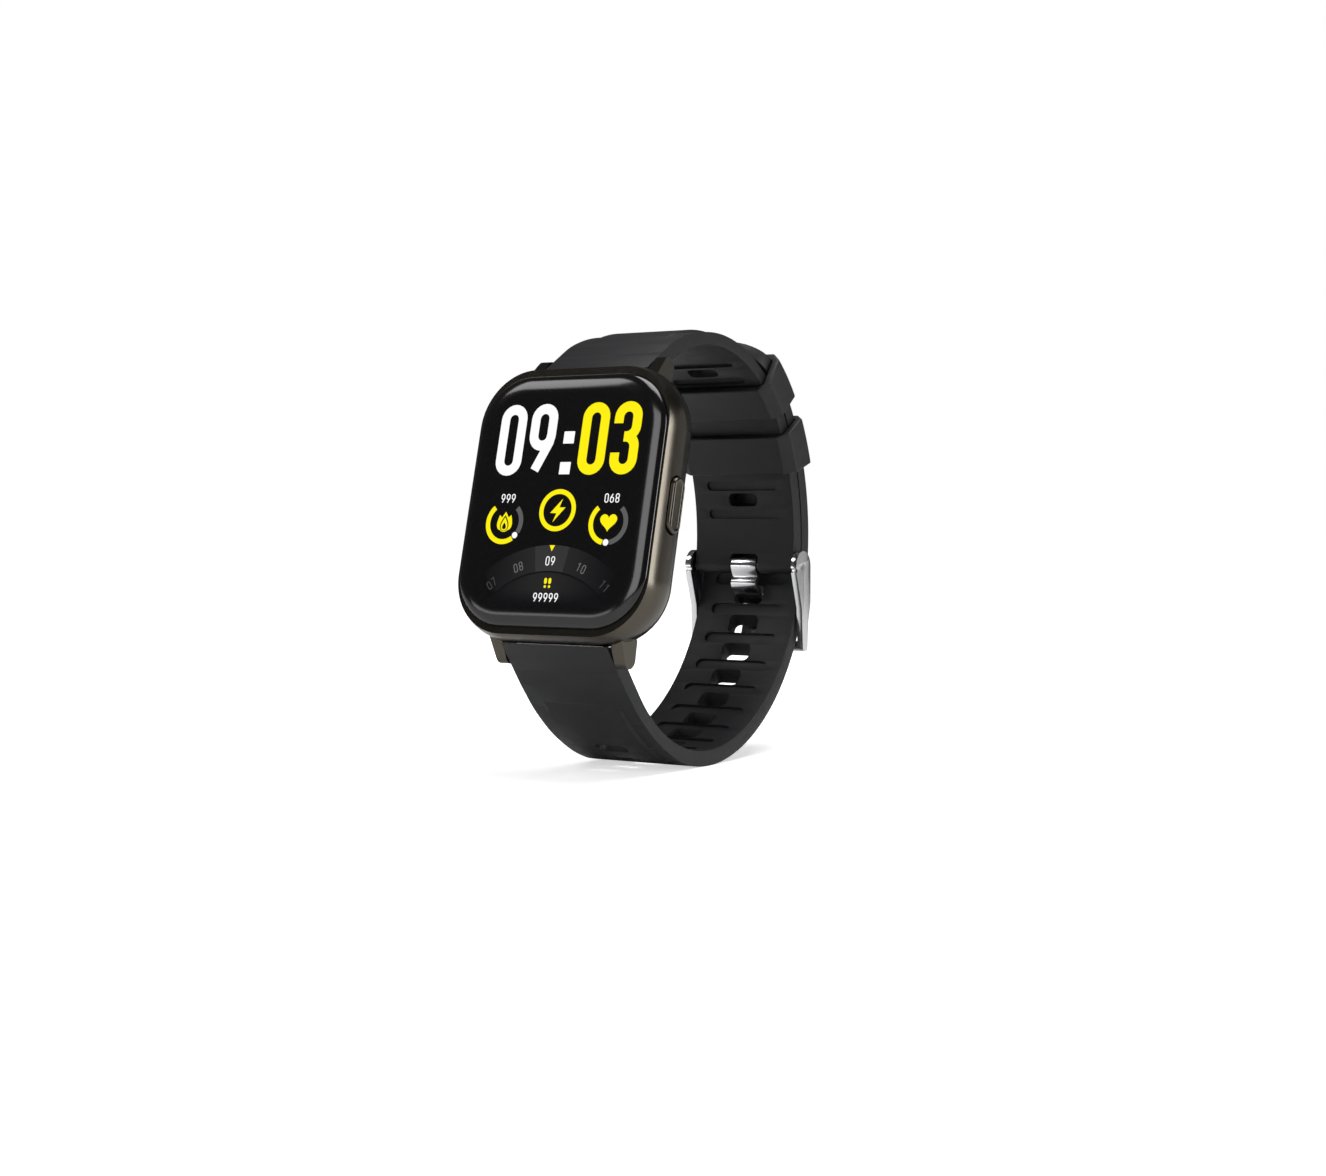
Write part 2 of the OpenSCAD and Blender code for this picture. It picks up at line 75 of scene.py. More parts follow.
def heading(angle):
    """Direction in the side view, in degrees from +Y towards +Z."""
    return Vector((cos(radians(angle)), sin(radians(angle))))


TOP_CENTRE = side(joints["upper_keeper_slide"]["pos_m"])
BACK_CENTRE = side(joints["lower_keeper_slide"]["pos_m"])
BUCKLE_BAR = side(joints["buckle_swing"]["pos_m"])
TOP_BAR = side(middle("top_bar_tube"))
BOTTOM_BAR = side(middle("bottom_bar_tube"))

SAME_PLACE = 0.1 * MM

# strap arcs: inner radii and the headings where one arc runs into the next
STRAP_HALF = 10 * MM
THICK = 2.6 * MM
LAYER_STEP = 3.2 * MM
TOP_RADIUS = 28.2 * MM
BACK_RADIUS = 35.7 * MM
CLASP_RADIUS = 35.3 * MM
BOTTOM_RADIUS = 28.2 * MM
BACK_JOIN = 31
CLASP_JOIN = -10
BOTTOM_JOIN = -79
BAR_HEADING = -9
TIP_HEADING = 64
FIRST_HOLE_HEADING = -17.2
UPPER_HOLE_HEADING = 60.4
LOWER_HOLE_HEADING = 10
HOLE_PITCH = 5.7 * MM
HOLE_COUNT = 11

CLASP_CENTRE = BACK_CENTRE + (BACK_RADIUS + LAYER_STEP - CLASP_RADIUS) * heading(CLASP_JOIN)
BOTTOM_CENTRE = CLASP_CENTRE + (CLASP_RADIUS - BOTTOM_RADIUS) * heading(BOTTOM_JOIN)

# the watch face: middle of the glass, outward, and up along the face
GLASS_MIDDLE = Vector(mounts["glass_face"]["pos_m"])
OUTWARD = Vector(mounts["glass_face"]["axis"]).normalized()
ACROSS = Vector((1, 0, 0))
UPWARD = ACROSS.cross(-OUTWARD)


def on_face(x, z, height=0.0):
    """A place on the glass: across and up from its middle, and a height above it, all in metres."""
    return GLASS_MIDDLE + ACROSS * x + UPWARD * z + OUTWARD * height


# ---------- materials ----------


class Nodes:
    """A new material with its Principled shader, and short calls that add and join nodes."""

    def __init__(self, name, colour, roughness, metallic=0.0):
        self.material = bpy.data.materials.new(name)
        self.material.use_nodes = True
        self.tree = self.material.node_tree
        self.shader = self.tree.nodes["Principled BSDF"]
        self.set("Base Color", (*colour, 1))
        self.set("Roughness", roughness)
        self.set("Metallic", metallic)

    def set(self, socket, value):
        self.shader.inputs[socket].default_value = value

    def add(self, kind, **settings):
        node = self.tree.nodes.new(kind)
        for key, value in settings.items():
            if key in node.inputs:
                node.inputs[key].default_value = value
            else:
                setattr(node, key, value)
        return node

    def join(self, output, target):
        self.tree.links.new(output, target)

    def place(self):
        """Object coordinates, which are the row frame's, in metres."""
        return self.add("ShaderNodeTexCoord").outputs["Object"]

    def noise(self, size, detail=2.0, stretch=(1, 1, 1)):
        """Noise whose grains are about `size` metres across."""
        mapping = self.add("ShaderNodeMapping")
        mapping.inputs["Scale"].default_value = stretch
        self.join(self.place(), mapping.inputs["Vector"])
        noise = self.add("ShaderNodeTexNoise", Scale=1 / size, Detail=detail)
        self.join(mapping.outputs[0], noise.inputs["Vector"])
        return noise.outputs["Fac"]

    def spread(self, value, low, high):
        """Maps a value from 0..1 to low..high."""
        node = self.add("ShaderNodeMapRange")
        node.inputs["To Min"].default_value = low
        node.inputs["To Max"].default_value = high
        self.join(value, node.inputs["Value"])
        return node.outputs["Result"]

    def vary_roughness(self, size, low, high, stretch=(1, 1, 1)):
        self.join(self.spread(self.noise(size, 3.0, stretch), low, high), self.shader.inputs["Roughness"])

    def vary_colour(self, size, first, second, sharpness=0.5):
        ramp = self.add("ShaderNodeValToRGB")
        ramp.color_ramp.elements[0].position = 0.5 - 0.5 * sharpness
        ramp.color_ramp.elements[1].position = 0.5 + 0.5 * sharpness
        ramp.color_ramp.elements[0].color = (*first, 1)
        ramp.color_ramp.elements[1].color = (*second, 1)
        self.join(self.noise(size), ramp.inputs["Fac"])
        self.join(ramp.outputs["Color"], self.shader.inputs["Base Color"])

    def grain(self, size, height, strength=0.3, stretch=(1, 1, 1)):
        """Fine relief: grains of a size and a height, in metres."""
        bump = self.add("ShaderNodeBump", Strength=strength, Distance=height)
        self.join(self.noise(size, 4.0, stretch), bump.inputs["Height"])
        self.join(bump.outputs["Normal"], self.shader.inputs["Normal"])


def dark_metal():
    """Polished bronze-grey plating, with very fine polishing marks."""
    m = Nodes("dark_metal", (0.09, 0.081, 0.066), 0.24, 1.0)
    m.vary_roughness(2 * MM, 0.2, 0.26)
    m.grain(0.6 * MM, 0.001 * MM, 0.1)
    return m.material


def black_glass():
    m = Nodes("black_glass", (0.003, 0.003, 0.0035), 0.14)
    m.vary_roughness(8 * MM, 0.12, 0.16)
    m.set("IOR", 1.52)
    return m.material


def silicone():
    """Soft matt silicone with a fine moulded grain and faint handling marks."""
    m = Nodes("silicone", (0.0095, 0.0095, 0.011), 0.5)
    m.vary_colour(5 * MM, (0.0085, 0.0085, 0.01), (0.0105, 0.0105, 0.012))
    m.vary_roughness(2 * MM, 0.46, 0.56)
    m.grain(0.12 * MM, 0.006 * MM, 0.25)
    m.set("Specular IOR Level", 0.35)
    return m.material


def bright_steel():
    m = Nodes("bright_steel", (0.72, 0.72, 0.73), 0.16, 1.0)
    m.vary_roughness(1.5 * MM, 0.13, 0.2)
    m.grain(1.0 * MM, 0.001 * MM, 0.05)
    return m.material


def turned_metal(name, colour, roughness):
    """Drawn or turned metal, its fine marks running round the bar."""
    m = Nodes(name, colour, roughness, 1.0)
    m.vary_roughness(0.15 * MM, roughness * 0.8, roughness * 1.3, (12, 1, 1))
    m.grain(0.1 * MM, 0.002 * MM, 0.2, (12, 1, 1))
    return m.material


def stamped_metal(name, colour, roughness):
    m = Nodes(name, colour, roughness, 1.0)
    m.vary_roughness(0.8 * MM, roughness * 0.8, roughness * 1.3)
    m.grain(0.3 * MM, 0.004 * MM, 0.2)
    return m.material


def moulded(name, colour, roughness):
    """Moulded plastic or rubber with a fine spark-eroded grain."""
    m = Nodes(name, colour, roughness)
    lighter = tuple(1.25 * c for c in colour)
    m.vary_colour(1.5 * MM, colour, lighter)
    m.vary_roughness(0.5 * MM, roughness * 0.9, min(1, roughness * 1.15))
    m.grain(0.08 * MM, 0.006 * MM, 0.3)
    return m.material


def circuit_board():
    """Green solder mask with paler pads and darker copper areas under it."""
    m = Nodes("circuit_board", (0.02, 0.14, 0.07), 0.35)
    m.vary_colour(0.9 * MM, (0.012, 0.09, 0.045), (0.03, 0.2, 0.1), 0.08)
    m.grain(0.9 * MM, 0.02 * MM, 0.4)
    return m.material


def sensor_lamps():
    """Diodes under the sensor lens: clear green plastic, a little uneven."""
    m = Nodes("sensor_leds", (0.1, 0.45, 0.16), 0.15)
    m.vary_colour(0.7 * MM, (0.08, 0.4, 0.14), (0.2, 0.6, 0.25))
    return m.material


def lit(name, colour, power, mask=None):
    """Lit pixels: they shine, and are as glossy as polished glass. A mask's strength replaces the power."""
    m = Nodes(name, (0.004, 0.004, 0.005), 0.04)
    m.set("IOR", 1.52)
    m.set("Emission Color", (*colour, 1))
    m.set("Emission Strength", power)
    if mask:
        m.join(mask(m), m.shader.inputs["Emission Strength"])
    return m.material


MATERIALS = {
    "case_metal": dark_metal(),
    "cover_glass": black_glass(),
    "black_adhesive": moulded("black_adhesive", (0.012, 0.012, 0.013), 0.6),
    "display_panel": moulded("display_panel", (0.008, 0.008, 0.01), 0.25),
    "flex_circuit": moulded("flex_circuit", (0.5, 0.26, 0.06), 0.3),
    "chassis_plastic": moulded("chassis_plastic", (0.05, 0.05, 0.052), 0.5),
    "circuit_board": circuit_board(),
    "chip_package": moulded("chip_package", (0.015, 0.015, 0.016), 0.45),
    "shield_metal": stamped_metal("shield_metal", (0.6, 0.6, 0.6), 0.3),
    "battery_foil": stamped_metal("battery_foil", (0.5, 0.51, 0.53), 0.38),
    "cover_plastic": moulded("cover_plastic", (0.02, 0.02, 0.021), 0.42),
    "seal_rubber": moulded("seal_rubber", (0.22, 0.03, 0.025), 0.6),
    "screw_steel": turned_metal("screw_steel", (0.5, 0.5, 0.51), 0.25),
    "sensor_lens": black_glass(),
    "sensor_leds": sensor_lamps(),
    "contact_gold": turned_metal("contact_gold", (0.85, 0.6, 0.24), 0.2),
    "magnet_nickel": stamped_metal("magnet_nickel", (0.6, 0.59, 0.56), 0.22),
    "switch_plastic": moulded("switch_plastic", (0.5, 0.5, 0.47), 0.4),
    "strap_silicone": silicone(),
    "bar_steel": turned_metal("bar_steel", (0.55, 0.55, 0.56), 0.2),
    "spring_steel": turned_metal("spring_steel", (0.45, 0.45, 0.46), 0.28),
    "buckle_steel": bright_steel(),
}


def dress_cad_nodes():
    """Gives every CAD node that stays in view its material."""
    for part in record["subparts"]:
        mesh = frame["nodes"][part["node"]].data
        mesh.materials.clear()
        mesh.materials.append(MATERIALS[part["material_slot"]])


def shorten_springs():
    """Gives each spring bar's spring a mesh of its own."""
    for bar in ("top", "bottom"):
        spring = bar + "_bar_spring"
        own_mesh(frame["nodes"][spring])


# ---------- mesh helpers ----------


def smooth_by_angle(mesh, angle=32):
    mesh.shade_smooth()
    mesh.set_sharp_from_angle(angle=radians(angle))


def add_piece(name, mesh, body, slot, replaced=()):
    """Links a finished mesh as a piece that rides on a body and takes a material slot's finish."""
    piece = bpy.data.objects.new(name, mesh)
    bpy.context.scene.collection.objects.link(piece)
    if not mesh.materials:
        mesh.materials.append(MATERIALS[slot])
    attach(piece, body)
    if replaced:
        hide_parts(*replaced)
    return piece


def mesh_from(build, name):
    """A mesh filled by a function that adds to a bmesh."""
    bm = bmesh.new()
    build(bm)
    bmesh.ops.recalc_face_normals(bm, faces=bm.faces)
    mesh = bpy.data.meshes.new(name)
    bm.to_mesh(mesh)
    bm.free()
    return mesh


def prism(bm, outline, low, high, place):
    """Closed prism: a 2D outline carried from `low` to `high`; place(u, v, w) gives the 3D point."""
    rings = [[bm.verts.new(place(u, v, w)) for u, v in outline] for w in (low, high)]
    bm.faces.new(rings[0])
    bm.faces.new(rings[1])
    join_rings(bm, *rings)


def join_rings(bm, first, second):
    count = len(first)
    for i in range(count):
        bm.faces.new((first[i], first[(i + 1) % count], second[(i + 1) % count], second[i]))


def stack_rings(bm, rings):
    """Closed solid through a list of outlines with the same number of points."""
    for first, second in zip(rings, rings[1:]):
        join_rings(bm, first, second)
    bm.faces.new(rings[0])
    bm.faces.new(rings[-1])


def hollow_prism(bm, outer, inner, low, high, place):
    """Closed ring-shaped prism between two outlines with the same number of points."""
    rings = [[bm.verts.new(place(u, v, w)) for u, v in line] for w in (low, high) for line in (outer, inner)]
    outer_low, inner_low, outer_high, inner_high = rings
    join_rings(bm, outer_low, outer_high)
    join_rings(bm, inner_low, inner_high)
    join_rings(bm, outer_low, inner_low)
    join_rings(bm, outer_high, inner_high)


def arc(centre, radius, start, end, count, squash=1.0):
    """Points of an arc, angles in degrees; squash scales its height."""
    turns = [radians(start + (end - start) * i / (count - 1)) for i in range(count)]
    return [(centre[0] + radius * cos(t), centre[1] + radius * squash * sin(t)) for t in turns]


def circle(centre, radius, count=24):
    return arc(centre, radius, 0, 360 - 360 / count, count)


def rounded_rectangle(width, height, corner, count=6, middle=(0, 0)):
    """Outline of a rounded rectangle, `count` points on each corner."""
    x, y = width / 2 - corner, height / 2 - corner
    corners = [(x, y, 0), (-x, y, 90), (-x, -y, 180), (x, -y, 270)]
    outline = []
    for corner_x, corner_y, start in corners:
        outline += arc((middle[0] + corner_x, middle[1] + corner_y), corner, start, start + 90, count)
    return outline


def apply_modifiers(mesh, add):
    """Runs modifiers on a mesh: add(object) puts them on, and the result comes back as a new mesh."""
    work = bpy.data.objects.new("work", mesh)
    bpy.context.scene.collection.objects.link(work)
    extra = add(work) or []
    bpy.context.view_layer.update()
    result = bpy.data.meshes.new_from_object(work.evaluated_get(bpy.context.evaluated_depsgraph_get()))
    for used in [work, *extra]:
        bpy.data.objects.remove(used)
    return result


def boolean(mesh, operation, tool_mesh):
    def add(work):
        tool = bpy.data.objects.new("tool", tool_mesh)
        bpy.context.scene.collection.objects.link(tool)
        tool.hide_render = True
        step = work.modifiers.new("boolean", "BOOLEAN")
        step.operation = operation
        step.solver = "EXACT"
        step.object = tool
        return [tool]
    return apply_modifiers(mesh, add)


def bevelled(mesh, width, segments=3, angle=35):
    def add(work):
        step = work.modifiers.new("bevel", "BEVEL")
        step.width = width
        step.segments = segments
        step.limit_method = "ANGLE"
        step.angle_limit = radians(angle)
        step.miter_outer = "MITER_ARC"
    return apply_modifiers(mesh, add)


# ---------- strap ----------


class Straight:
    """A straight stretch whose mid-thickness runs from start to end; out points away from the wrist."""

    def __init__(self, start, end, out):
        run = end - start
        self.start = start
        self.along = run.normalized()
        self.out = out
        self.length = run.length

    def at(self, travelled):
        return self.start + self.along * travelled, self.out


class Bend:
    """An arc of the strap between two headings, in the direction of travel."""

    def __init__(self, centre, inner_radius, start, end):
        self.centre = centre
        self.radius = inner_radius + THICK / 2
        self.start = start
        self.end = end
        self.length = abs(radians(end - start)) * self.radius

    def at(self, travelled):
        turn = self.start + (self.end - self.start) * travelled / self.length
        return self.centre + self.radius * heading(turn), heading(turn)


class Route:
    """The strap's path in the side view: stretches end to end, measured along mid-thickness."""

    def __init__(self, *stretches):
        self.stretches = stretches
        self.length = sum(stretch.length for stretch in stretches)

    def at(self, distance):
        """Mid-thickness point and outward direction at a distance along the route."""
        begin = 0.0
        for stretch in self.stretches[:-1]:
            if distance <= begin + stretch.length:
                return stretch.at(distance - begin)
            begin += stretch.length
        return self.stretches[-1].at(distance - begin)

    def distance(self, centre, angle):
        """Distance along the route where it passes a heading of the arc about a centre."""
        begin = 0.0
        for stretch in self.stretches:
            if isinstance(stretch, Bend) and (stretch.centre - centre).length < SAME_PLACE:
                return begin + stretch.length * (angle - stretch.start) / (stretch.end - stretch.start)
            begin += stretch.length

    def bend(self, mesh):
        """Bends a strap drawn flat as (x, distance along, thickness from the inner face)."""
        for vertex in mesh.vertices:
            x, distance, thickness = vertex.co
            point, out = self.at(distance)
            spot = point + out * (thickness - THICK / 2)
            vertex.co = (x, spot.x, spot.y)


def touch_heading(point, centre, radius, turn):
    """Heading at which a line from a point touches a circle; turn is 1 or -1."""
    run = point - centre
    return degrees(atan2(run.y, run.x)) + turn * degrees(acos(radius / run.length))


def lead(bar, centre, inner_radius, start):
    """The straight run from a spring bar to where it touches an arc."""
    out = heading(start)
    return Straight(bar, centre + (inner_radius + THICK / 2) * out, out)


def long_route():
    start = touch_heading(BOTTOM_BAR, BOTTOM_CENTRE, BOTTOM_RADIUS + THICK / 2, 1) % 360
    return Route(
        lead(BOTTOM_BAR, BOTTOM_CENTRE, BOTTOM_RADIUS, start),
        Bend(BOTTOM_CENTRE, BOTTOM_RADIUS, start, BOTTOM_JOIN + 360),
        Bend(CLASP_CENTRE, CLASP_RADIUS, BOTTOM_JOIN, CLASP_JOIN),
        Bend(BACK_CENTRE, BACK_RADIUS + LAYER_STEP, CLASP_JOIN, BACK_JOIN),
        Bend(TOP_CENTRE, TOP_RADIUS + LAYER_STEP, BACK_JOIN, TIP_HEADING),
    )


def short_route():
    start = touch_heading(TOP_BAR, TOP_CENTRE, TOP_RADIUS + THICK / 2, -1)
    return Route(
        lead(TOP_BAR, TOP_CENTRE, TOP_RADIUS, start),
        Bend(TOP_CENTRE, TOP_RADIUS, start, BACK_JOIN),
        Bend(BACK_CENTRE, BACK_RADIUS, BACK_JOIN, BAR_HEADING),
    )


# the strap drawn flat
EYE_RADIUS = 1.85 * MM
SHOULDER = 2.1 * MM
SHOULDER_FOOT = 3.3 * MM
ROLL_RADIUS = 1.4 * MM
TAPER_LENGTH = 6 * MM
TAPER_FOOT = 0.9 * MM
TAPER_CROWN = 0.2 * MM
CROWN_LENGTH = 2 * MM
TIP_ROUND = 7 * MM
LONG_END_REACH = 3.6 * MM
SHORT_END_REACH = 2.9 * MM
BORE_RADIUS = 0.8 * MM
HOLE_LENGTH = 5.8 * MM
HOLE_HEIGHT = 3.7 * MM
KEEPER_HOLE_HEIGHT = 2.5 * MM
HOLE_SLANT = 1.1 * MM
HOLE_CORNER = 1.0 * MM
RECESS_LENGTH = 14.4 * MM
RECESS_HEIGHT = 2.2 * MM
KEEPER_RECESS_HEIGHT = 1.8 * MM
RECESS_DEPTH = 0.5 * MM
PANEL_HALF = 7.2 * MM
STEP_DEPTH = 0.5 * MM
STEP_SLOPE = 0.4 * MM
EDGE_ROUND = 0.22 * MM
BEND_STEP = 0.7 * MM
SPARE = 1 * MM
SKIN = 0.02 * MM
HAIR = 0.01 * MM


def flat(x, s, w):
    """A strap drawn flat: across, along, and out from the inner face."""
    return Vector((x, s, w))


def profile_along(length, reach, end):
    """Side outline of a flat strap: an eye sloping beside the case, and a rolled or tapered far end."""
    eye = arc((0, THICK / 2), EYE_RADIUS, 190, 310, 10)
    outline = [(SHOULDER, THICK), (-reach, THICK)] + eye + [(SHOULDER, 0), (SHOULDER_FOOT, 0)]
    if end == "rolled":
        outline += arc((length, ROLL_RADIUS), ROLL_RADIUS, -90, 90, 13)
    else:
        outline += [(length - TAPER_LENGTH, 0), (length, TAPER_FOOT)]
        outline += [(length, THICK - TAPER_CROWN), (length - CROWN_LENGTH, THICK)]
    return outline


def add_cutter(bm, outline, low, high):
    prism(bm, outline, low, high, flat)


def add_cross_cutter(bm, outline, half):
    """A cutter drawn in the side view (along, out) and carried across the strap."""
    prism(bm, outline, -half, half, lambda s, w, x: Vector((x, s, w)))


def add_edge_step(bm, start, end, ramp, turn):
    """A wedge that lowers one outer edge of the strap beside the raised middle panel, fading at its ends."""
    stations = [(start, 0), (start + ramp, STEP_DEPTH), (end - ramp, STEP_DEPTH), (end, 0)]
    top = THICK + SPARE
    crest_x = PANEL_HALF - STEP_SLOPE * 0.5
    foot_x = PANEL_HALF + STEP_SLOPE * 0.5
    outer_x = STRAP_HALF + SPARE
    rings = []
    for s, depth in stations:
        foot = THICK + SKIN - depth
        points = [(crest_x, top), (crest_x, THICK + SKIN), (foot_x, foot), (outer_x, foot), (outer_x, top)]
        rings.append([bm.verts.new(flat(turn * x, s, w)) for x, w in points])
    stack_rings(bm, rings)


def shifted(outline, along):
    return [(u, v + along) for u, v in outline]


def add_holes(bm, distances, height, slant):
    """Size holes: straight below, and above them a wall that slants the way the tongue goes through."""
    for along in distances:
        rings = []
        for w in (-SPARE, THICK + SPARE):
            cut = slant * w / THICK
            outline = rounded_rectangle(HOLE_LENGTH, height - cut, HOLE_CORNER, 6, (0, along - cut / 2))
            rings.append([bm.verts.new(flat(x, s, w)) for x, s in outline])
        stack_rings(bm, rings)


def add_recesses(bm, distances, height):
    outline = rounded_rectangle(RECESS_LENGTH, height, height / 2 - HAIR, 7)
    for along in distances:
        add_cutter(bm, shifted(outline, along), -SPARE, RECESS_DEPTH)


def add_bar_room(bm):
    """The bore for the spring bar."""
    add_cross_cutter(bm, circle((0, THICK / 2), BORE_RADIUS), STRAP_HALF + SPARE)


def add_lever_slot(bm):
    """The slot in the inner face for the spring bar's release lever."""
    length, width, corner = 3.0 * MM, 1.4 * MM, 0.3 * MM
    past_pin_end = 0.7 * MM
    pin_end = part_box("top_bar_pin")[0].x
    outline = rounded_rectangle(length, width, corner, 4, (pin_end + past_pin_end, 0))
    add_cutter(bm, outline, -SPARE, THICK / 2)


def strap_mesh(name, route, profile, cutters, plan=None):
    """Cuts a flat strap from its profile, rounds its edges, and bends it along its route."""
    mesh = mesh_from(lambda bm: add_cross_cutter(bm, profile, STRAP_HALF), name)
    if plan:
        plan_mesh = mesh_from(lambda bm: add_cutter(bm, plan, -SPARE, THICK + SPARE), "plan")
        mesh = boolean(mesh, "INTERSECT", plan_mesh)
    for cutter in cutters:
        mesh = boolean(mesh, "DIFFERENCE", mesh_from(cutter, "cutter"))
    mesh = bevelled(mesh, EDGE_ROUND)
    bm = bmesh.new()
    bm.from_mesh(mesh)
    for i in range(1, int(route.length / BEND_STEP)):
        everything = bm.verts[:] + bm.edges[:] + bm.faces[:]
        bmesh.ops.bisect_plane(bm, geom=everything, plane_co=(0, i * BEND_STEP, 0), plane_no=(0, 1, 0))
    bm.to_mesh(mesh)
    bm.free()
    route.bend(mesh)
    mesh.name = name
    smooth_by_angle(mesh)
    return mesh


def long_strap():
    """The long half: eye, raised panel, size holes, inner recesses and a rounded tip."""
    route = long_route()
    first = route.distance(CLASP_CENTRE, FIRST_HOLE_HEADING)
    pitch = HOLE_PITCH / CLASP_RADIUS * (CLASP_RADIUS + THICK / 2)
    holes = [first - i * pitch for i in range(HOLE_COUNT)]
    recesses = [first - (i - 0.5) * pitch for i in range(HOLE_COUNT + 1)]
    side_x = STRAP_HALF + SPARE
    before_eye = -5 * MM
    round_start = route.length - TIP_ROUND
    plan = [(-side_x, before_eye), (side_x, before_eye), (side_x, round_start)]
    plan += arc((0, round_start), STRAP_HALF, 0, 180, 25, TIP_ROUND / STRAP_HALF)
    plan += [(-side_x, round_start)]
    step_start, step_end, step_ramp = 5 * MM, 30 * MM, 9 * MM

    def cut_outside(bm):
        for turn in (-1, 1):
            add_edge_step(bm, step_start, step_end, step_ramp, turn)
        add_bar_room(bm)

    def cut_holes(bm):
        add_holes(bm, holes, HOLE_HEIGHT, HOLE_SLANT)

    def cut_recesses(bm):
        add_recesses(bm, recesses, RECESS_HEIGHT)

    profile = profile_along(route.length, LONG_END_REACH, "tapered")
    cutters = [cut_holes, cut_recesses, cut_outside, add_lever_slot]
    mesh = strap_mesh("long_strap", route, profile, cutters, plan)
    add_piece("long_strap", mesh, "watch", "strap_silicone", ["bottom_strap"])


def short_strap():
    """The short half: eye, raised panel, two holes with recesses, and a rolled end round the buckle's bar."""
    route = short_route()
    holes = [route.distance(TOP_CENTRE, UPPER_HOLE_HEADING), route.distance(BACK_CENTRE, LOWER_HOLE_HEADING)]
    flank = 2.7 * MM
    recesses = [hole + turn * flank for hole in holes for turn in (-1, 1)]
    bar = route.distance(BACK_CENTRE, BAR_HEADING)
    tang_room, tang_room_length, tang_room_corner = 5.6 * MM, 6 * MM, 0.7 * MM
    past_bar = 0.9 * MM
    slot = rounded_rectangle(tang_room, tang_room_length, tang_room_corner, 5, (0, bar + past_bar))
    step_start, step_end, step_ramp = 6 * MM, 46 * MM, 10 * MM

    def cut_inside(bm):
        add_recesses(bm, recesses, KEEPER_RECESS_HEIGHT)
        add_cutter(bm, slot, -SPARE, THICK + SPARE)

    def cut_outside(bm):
        for turn in (-1, 1):
            add_edge_step(bm, step_start, step_end, step_ramp, turn)
        add_bar_room(bm)

    def cut_holes(bm):
        add_holes(bm, holes, KEEPER_HOLE_HEIGHT, 0)

    profile = profile_along(route.length, SHORT_END_REACH, "rolled")
    cutters = [cut_holes, cut_inside, cut_outside, add_lever_slot]
    mesh = strap_mesh("short_strap", route, profile, cutters)
    add_piece("short_strap", mesh, "watch", "strap_silicone", ["top_strap"])


# ---------- keepers ----------


def chamfered(half, low, high, low_cut, high_cut):
    """A rectangle from low to high with cut corners, each cut given as (across, up)."""
    return [(half, low + low_cut[1]), (half, high - high_cut[1]), (half - high_cut[0], high),
            (high_cut[0] - half, high), (-half, high - high_cut[1]), (-half, low + low_cut[1]),
            (low_cut[0] - half, low), (half - low_cut[0], low)]


def keeper(name, node, body, centre, radius, start, end):
    """A chamfered loop round both strap layers, following their arc."""
    half = 11.6 * MM
    hollow_half = 10.2 * MM
    wall = 1.3 * MM
    gap = 0.15 * MM
    inner_chamfer = 2.0 * MM
    outer_chamfer = 1.5 * MM
    low = radius - gap - wall
    high = radius + LAYER_STEP + THICK + gap + wall
    soft = 0.4 * MM
    outer = chamfered(half, low, high, (inner_chamfer, inner_chamfer * 0.8), (outer_chamfer, outer_chamfer))
    hollow = chamfered(hollow_half, low + wall, high - wall, (soft, soft), (soft, soft))
    count = 13

    def build(bm):
        rings = []
        for i in range(count):
            out = heading(start + (end - start) * i / (count - 1))
            spots = [[(x, centre + out * r) for x, r in line] for line in (outer, hollow)]
            rings.append([[bm.verts.new((x, p.x, p.y)) for x, p in line] for line in spots])
        for first, second in zip(rings, rings[1:]):
            join_rings(bm, first[0], second[0])
            join_rings(bm, first[1], second[1])
        join_rings(bm, rings[0][0], rings[0][1])
        join_rings(bm, rings[-1][0], rings[-1][1])

    mesh = bevelled(mesh_from(build, name), 0.3 * MM, 4, 25)
    mesh.name = name
    smooth_by_angle(mesh)
    add_piece(name, mesh, body, "strap_silicone", [node])


# ---------- buckle ----------

ARM_INNER = 10.35 * MM
ARM_OUTER = 11.45 * MM
ARM_TOP = 2.8 * MM
NOTCH = 0.45 * MM
BAR_HOLE_RADIUS = 0.48 * MM
CROSS_RADIUS = 0.95 * MM
CROSS_HEADING = -30
CROSS_RING = CLASP_RADIUS + THICK + 0.25 * MM + CROSS_RADIUS
CROSS_BAR = CLASP_CENTRE + CROSS_RING * heading(CROSS_HEADING)


def across_place(u, v, w):
    """Places a side-view point (y, z) at a distance across."""
    return Vector((w, u, v))


def arm_outline():
    """Side view of a buckle arm: a round top about the bar, a straight back, and a taper to the cross bar."""
    bar, cross = BUCKLE_BAR, CROSS_BAR
    front, rear = bar.x - ARM_TOP, bar.x + ARM_TOP
    notch_x = front + NOTCH
    below_notch = (front + 0.1 * MM, bar.y - 1.1 * MM)
    waist = (bar.x - 0.6 * MM, bar.y - 7.4 * MM)
    heel = (bar.x + 1.9 * MM, bar.y - 10.2 * MM)
    hip = (rear, bar.y - 6.6 * MM)
    outline = arc(bar, ARM_TOP, 0, 180, 21)
    outline += [(front, bar.y - 0.3 * MM), (notch_x, bar.y - 0.45 * MM), (notch_x, bar.y - 0.95 * MM)]
    outline += [below_notch, waist]
    outline += arc(cross, CROSS_RADIUS, 180, 370, 13)
    return outline + [heel, hip]


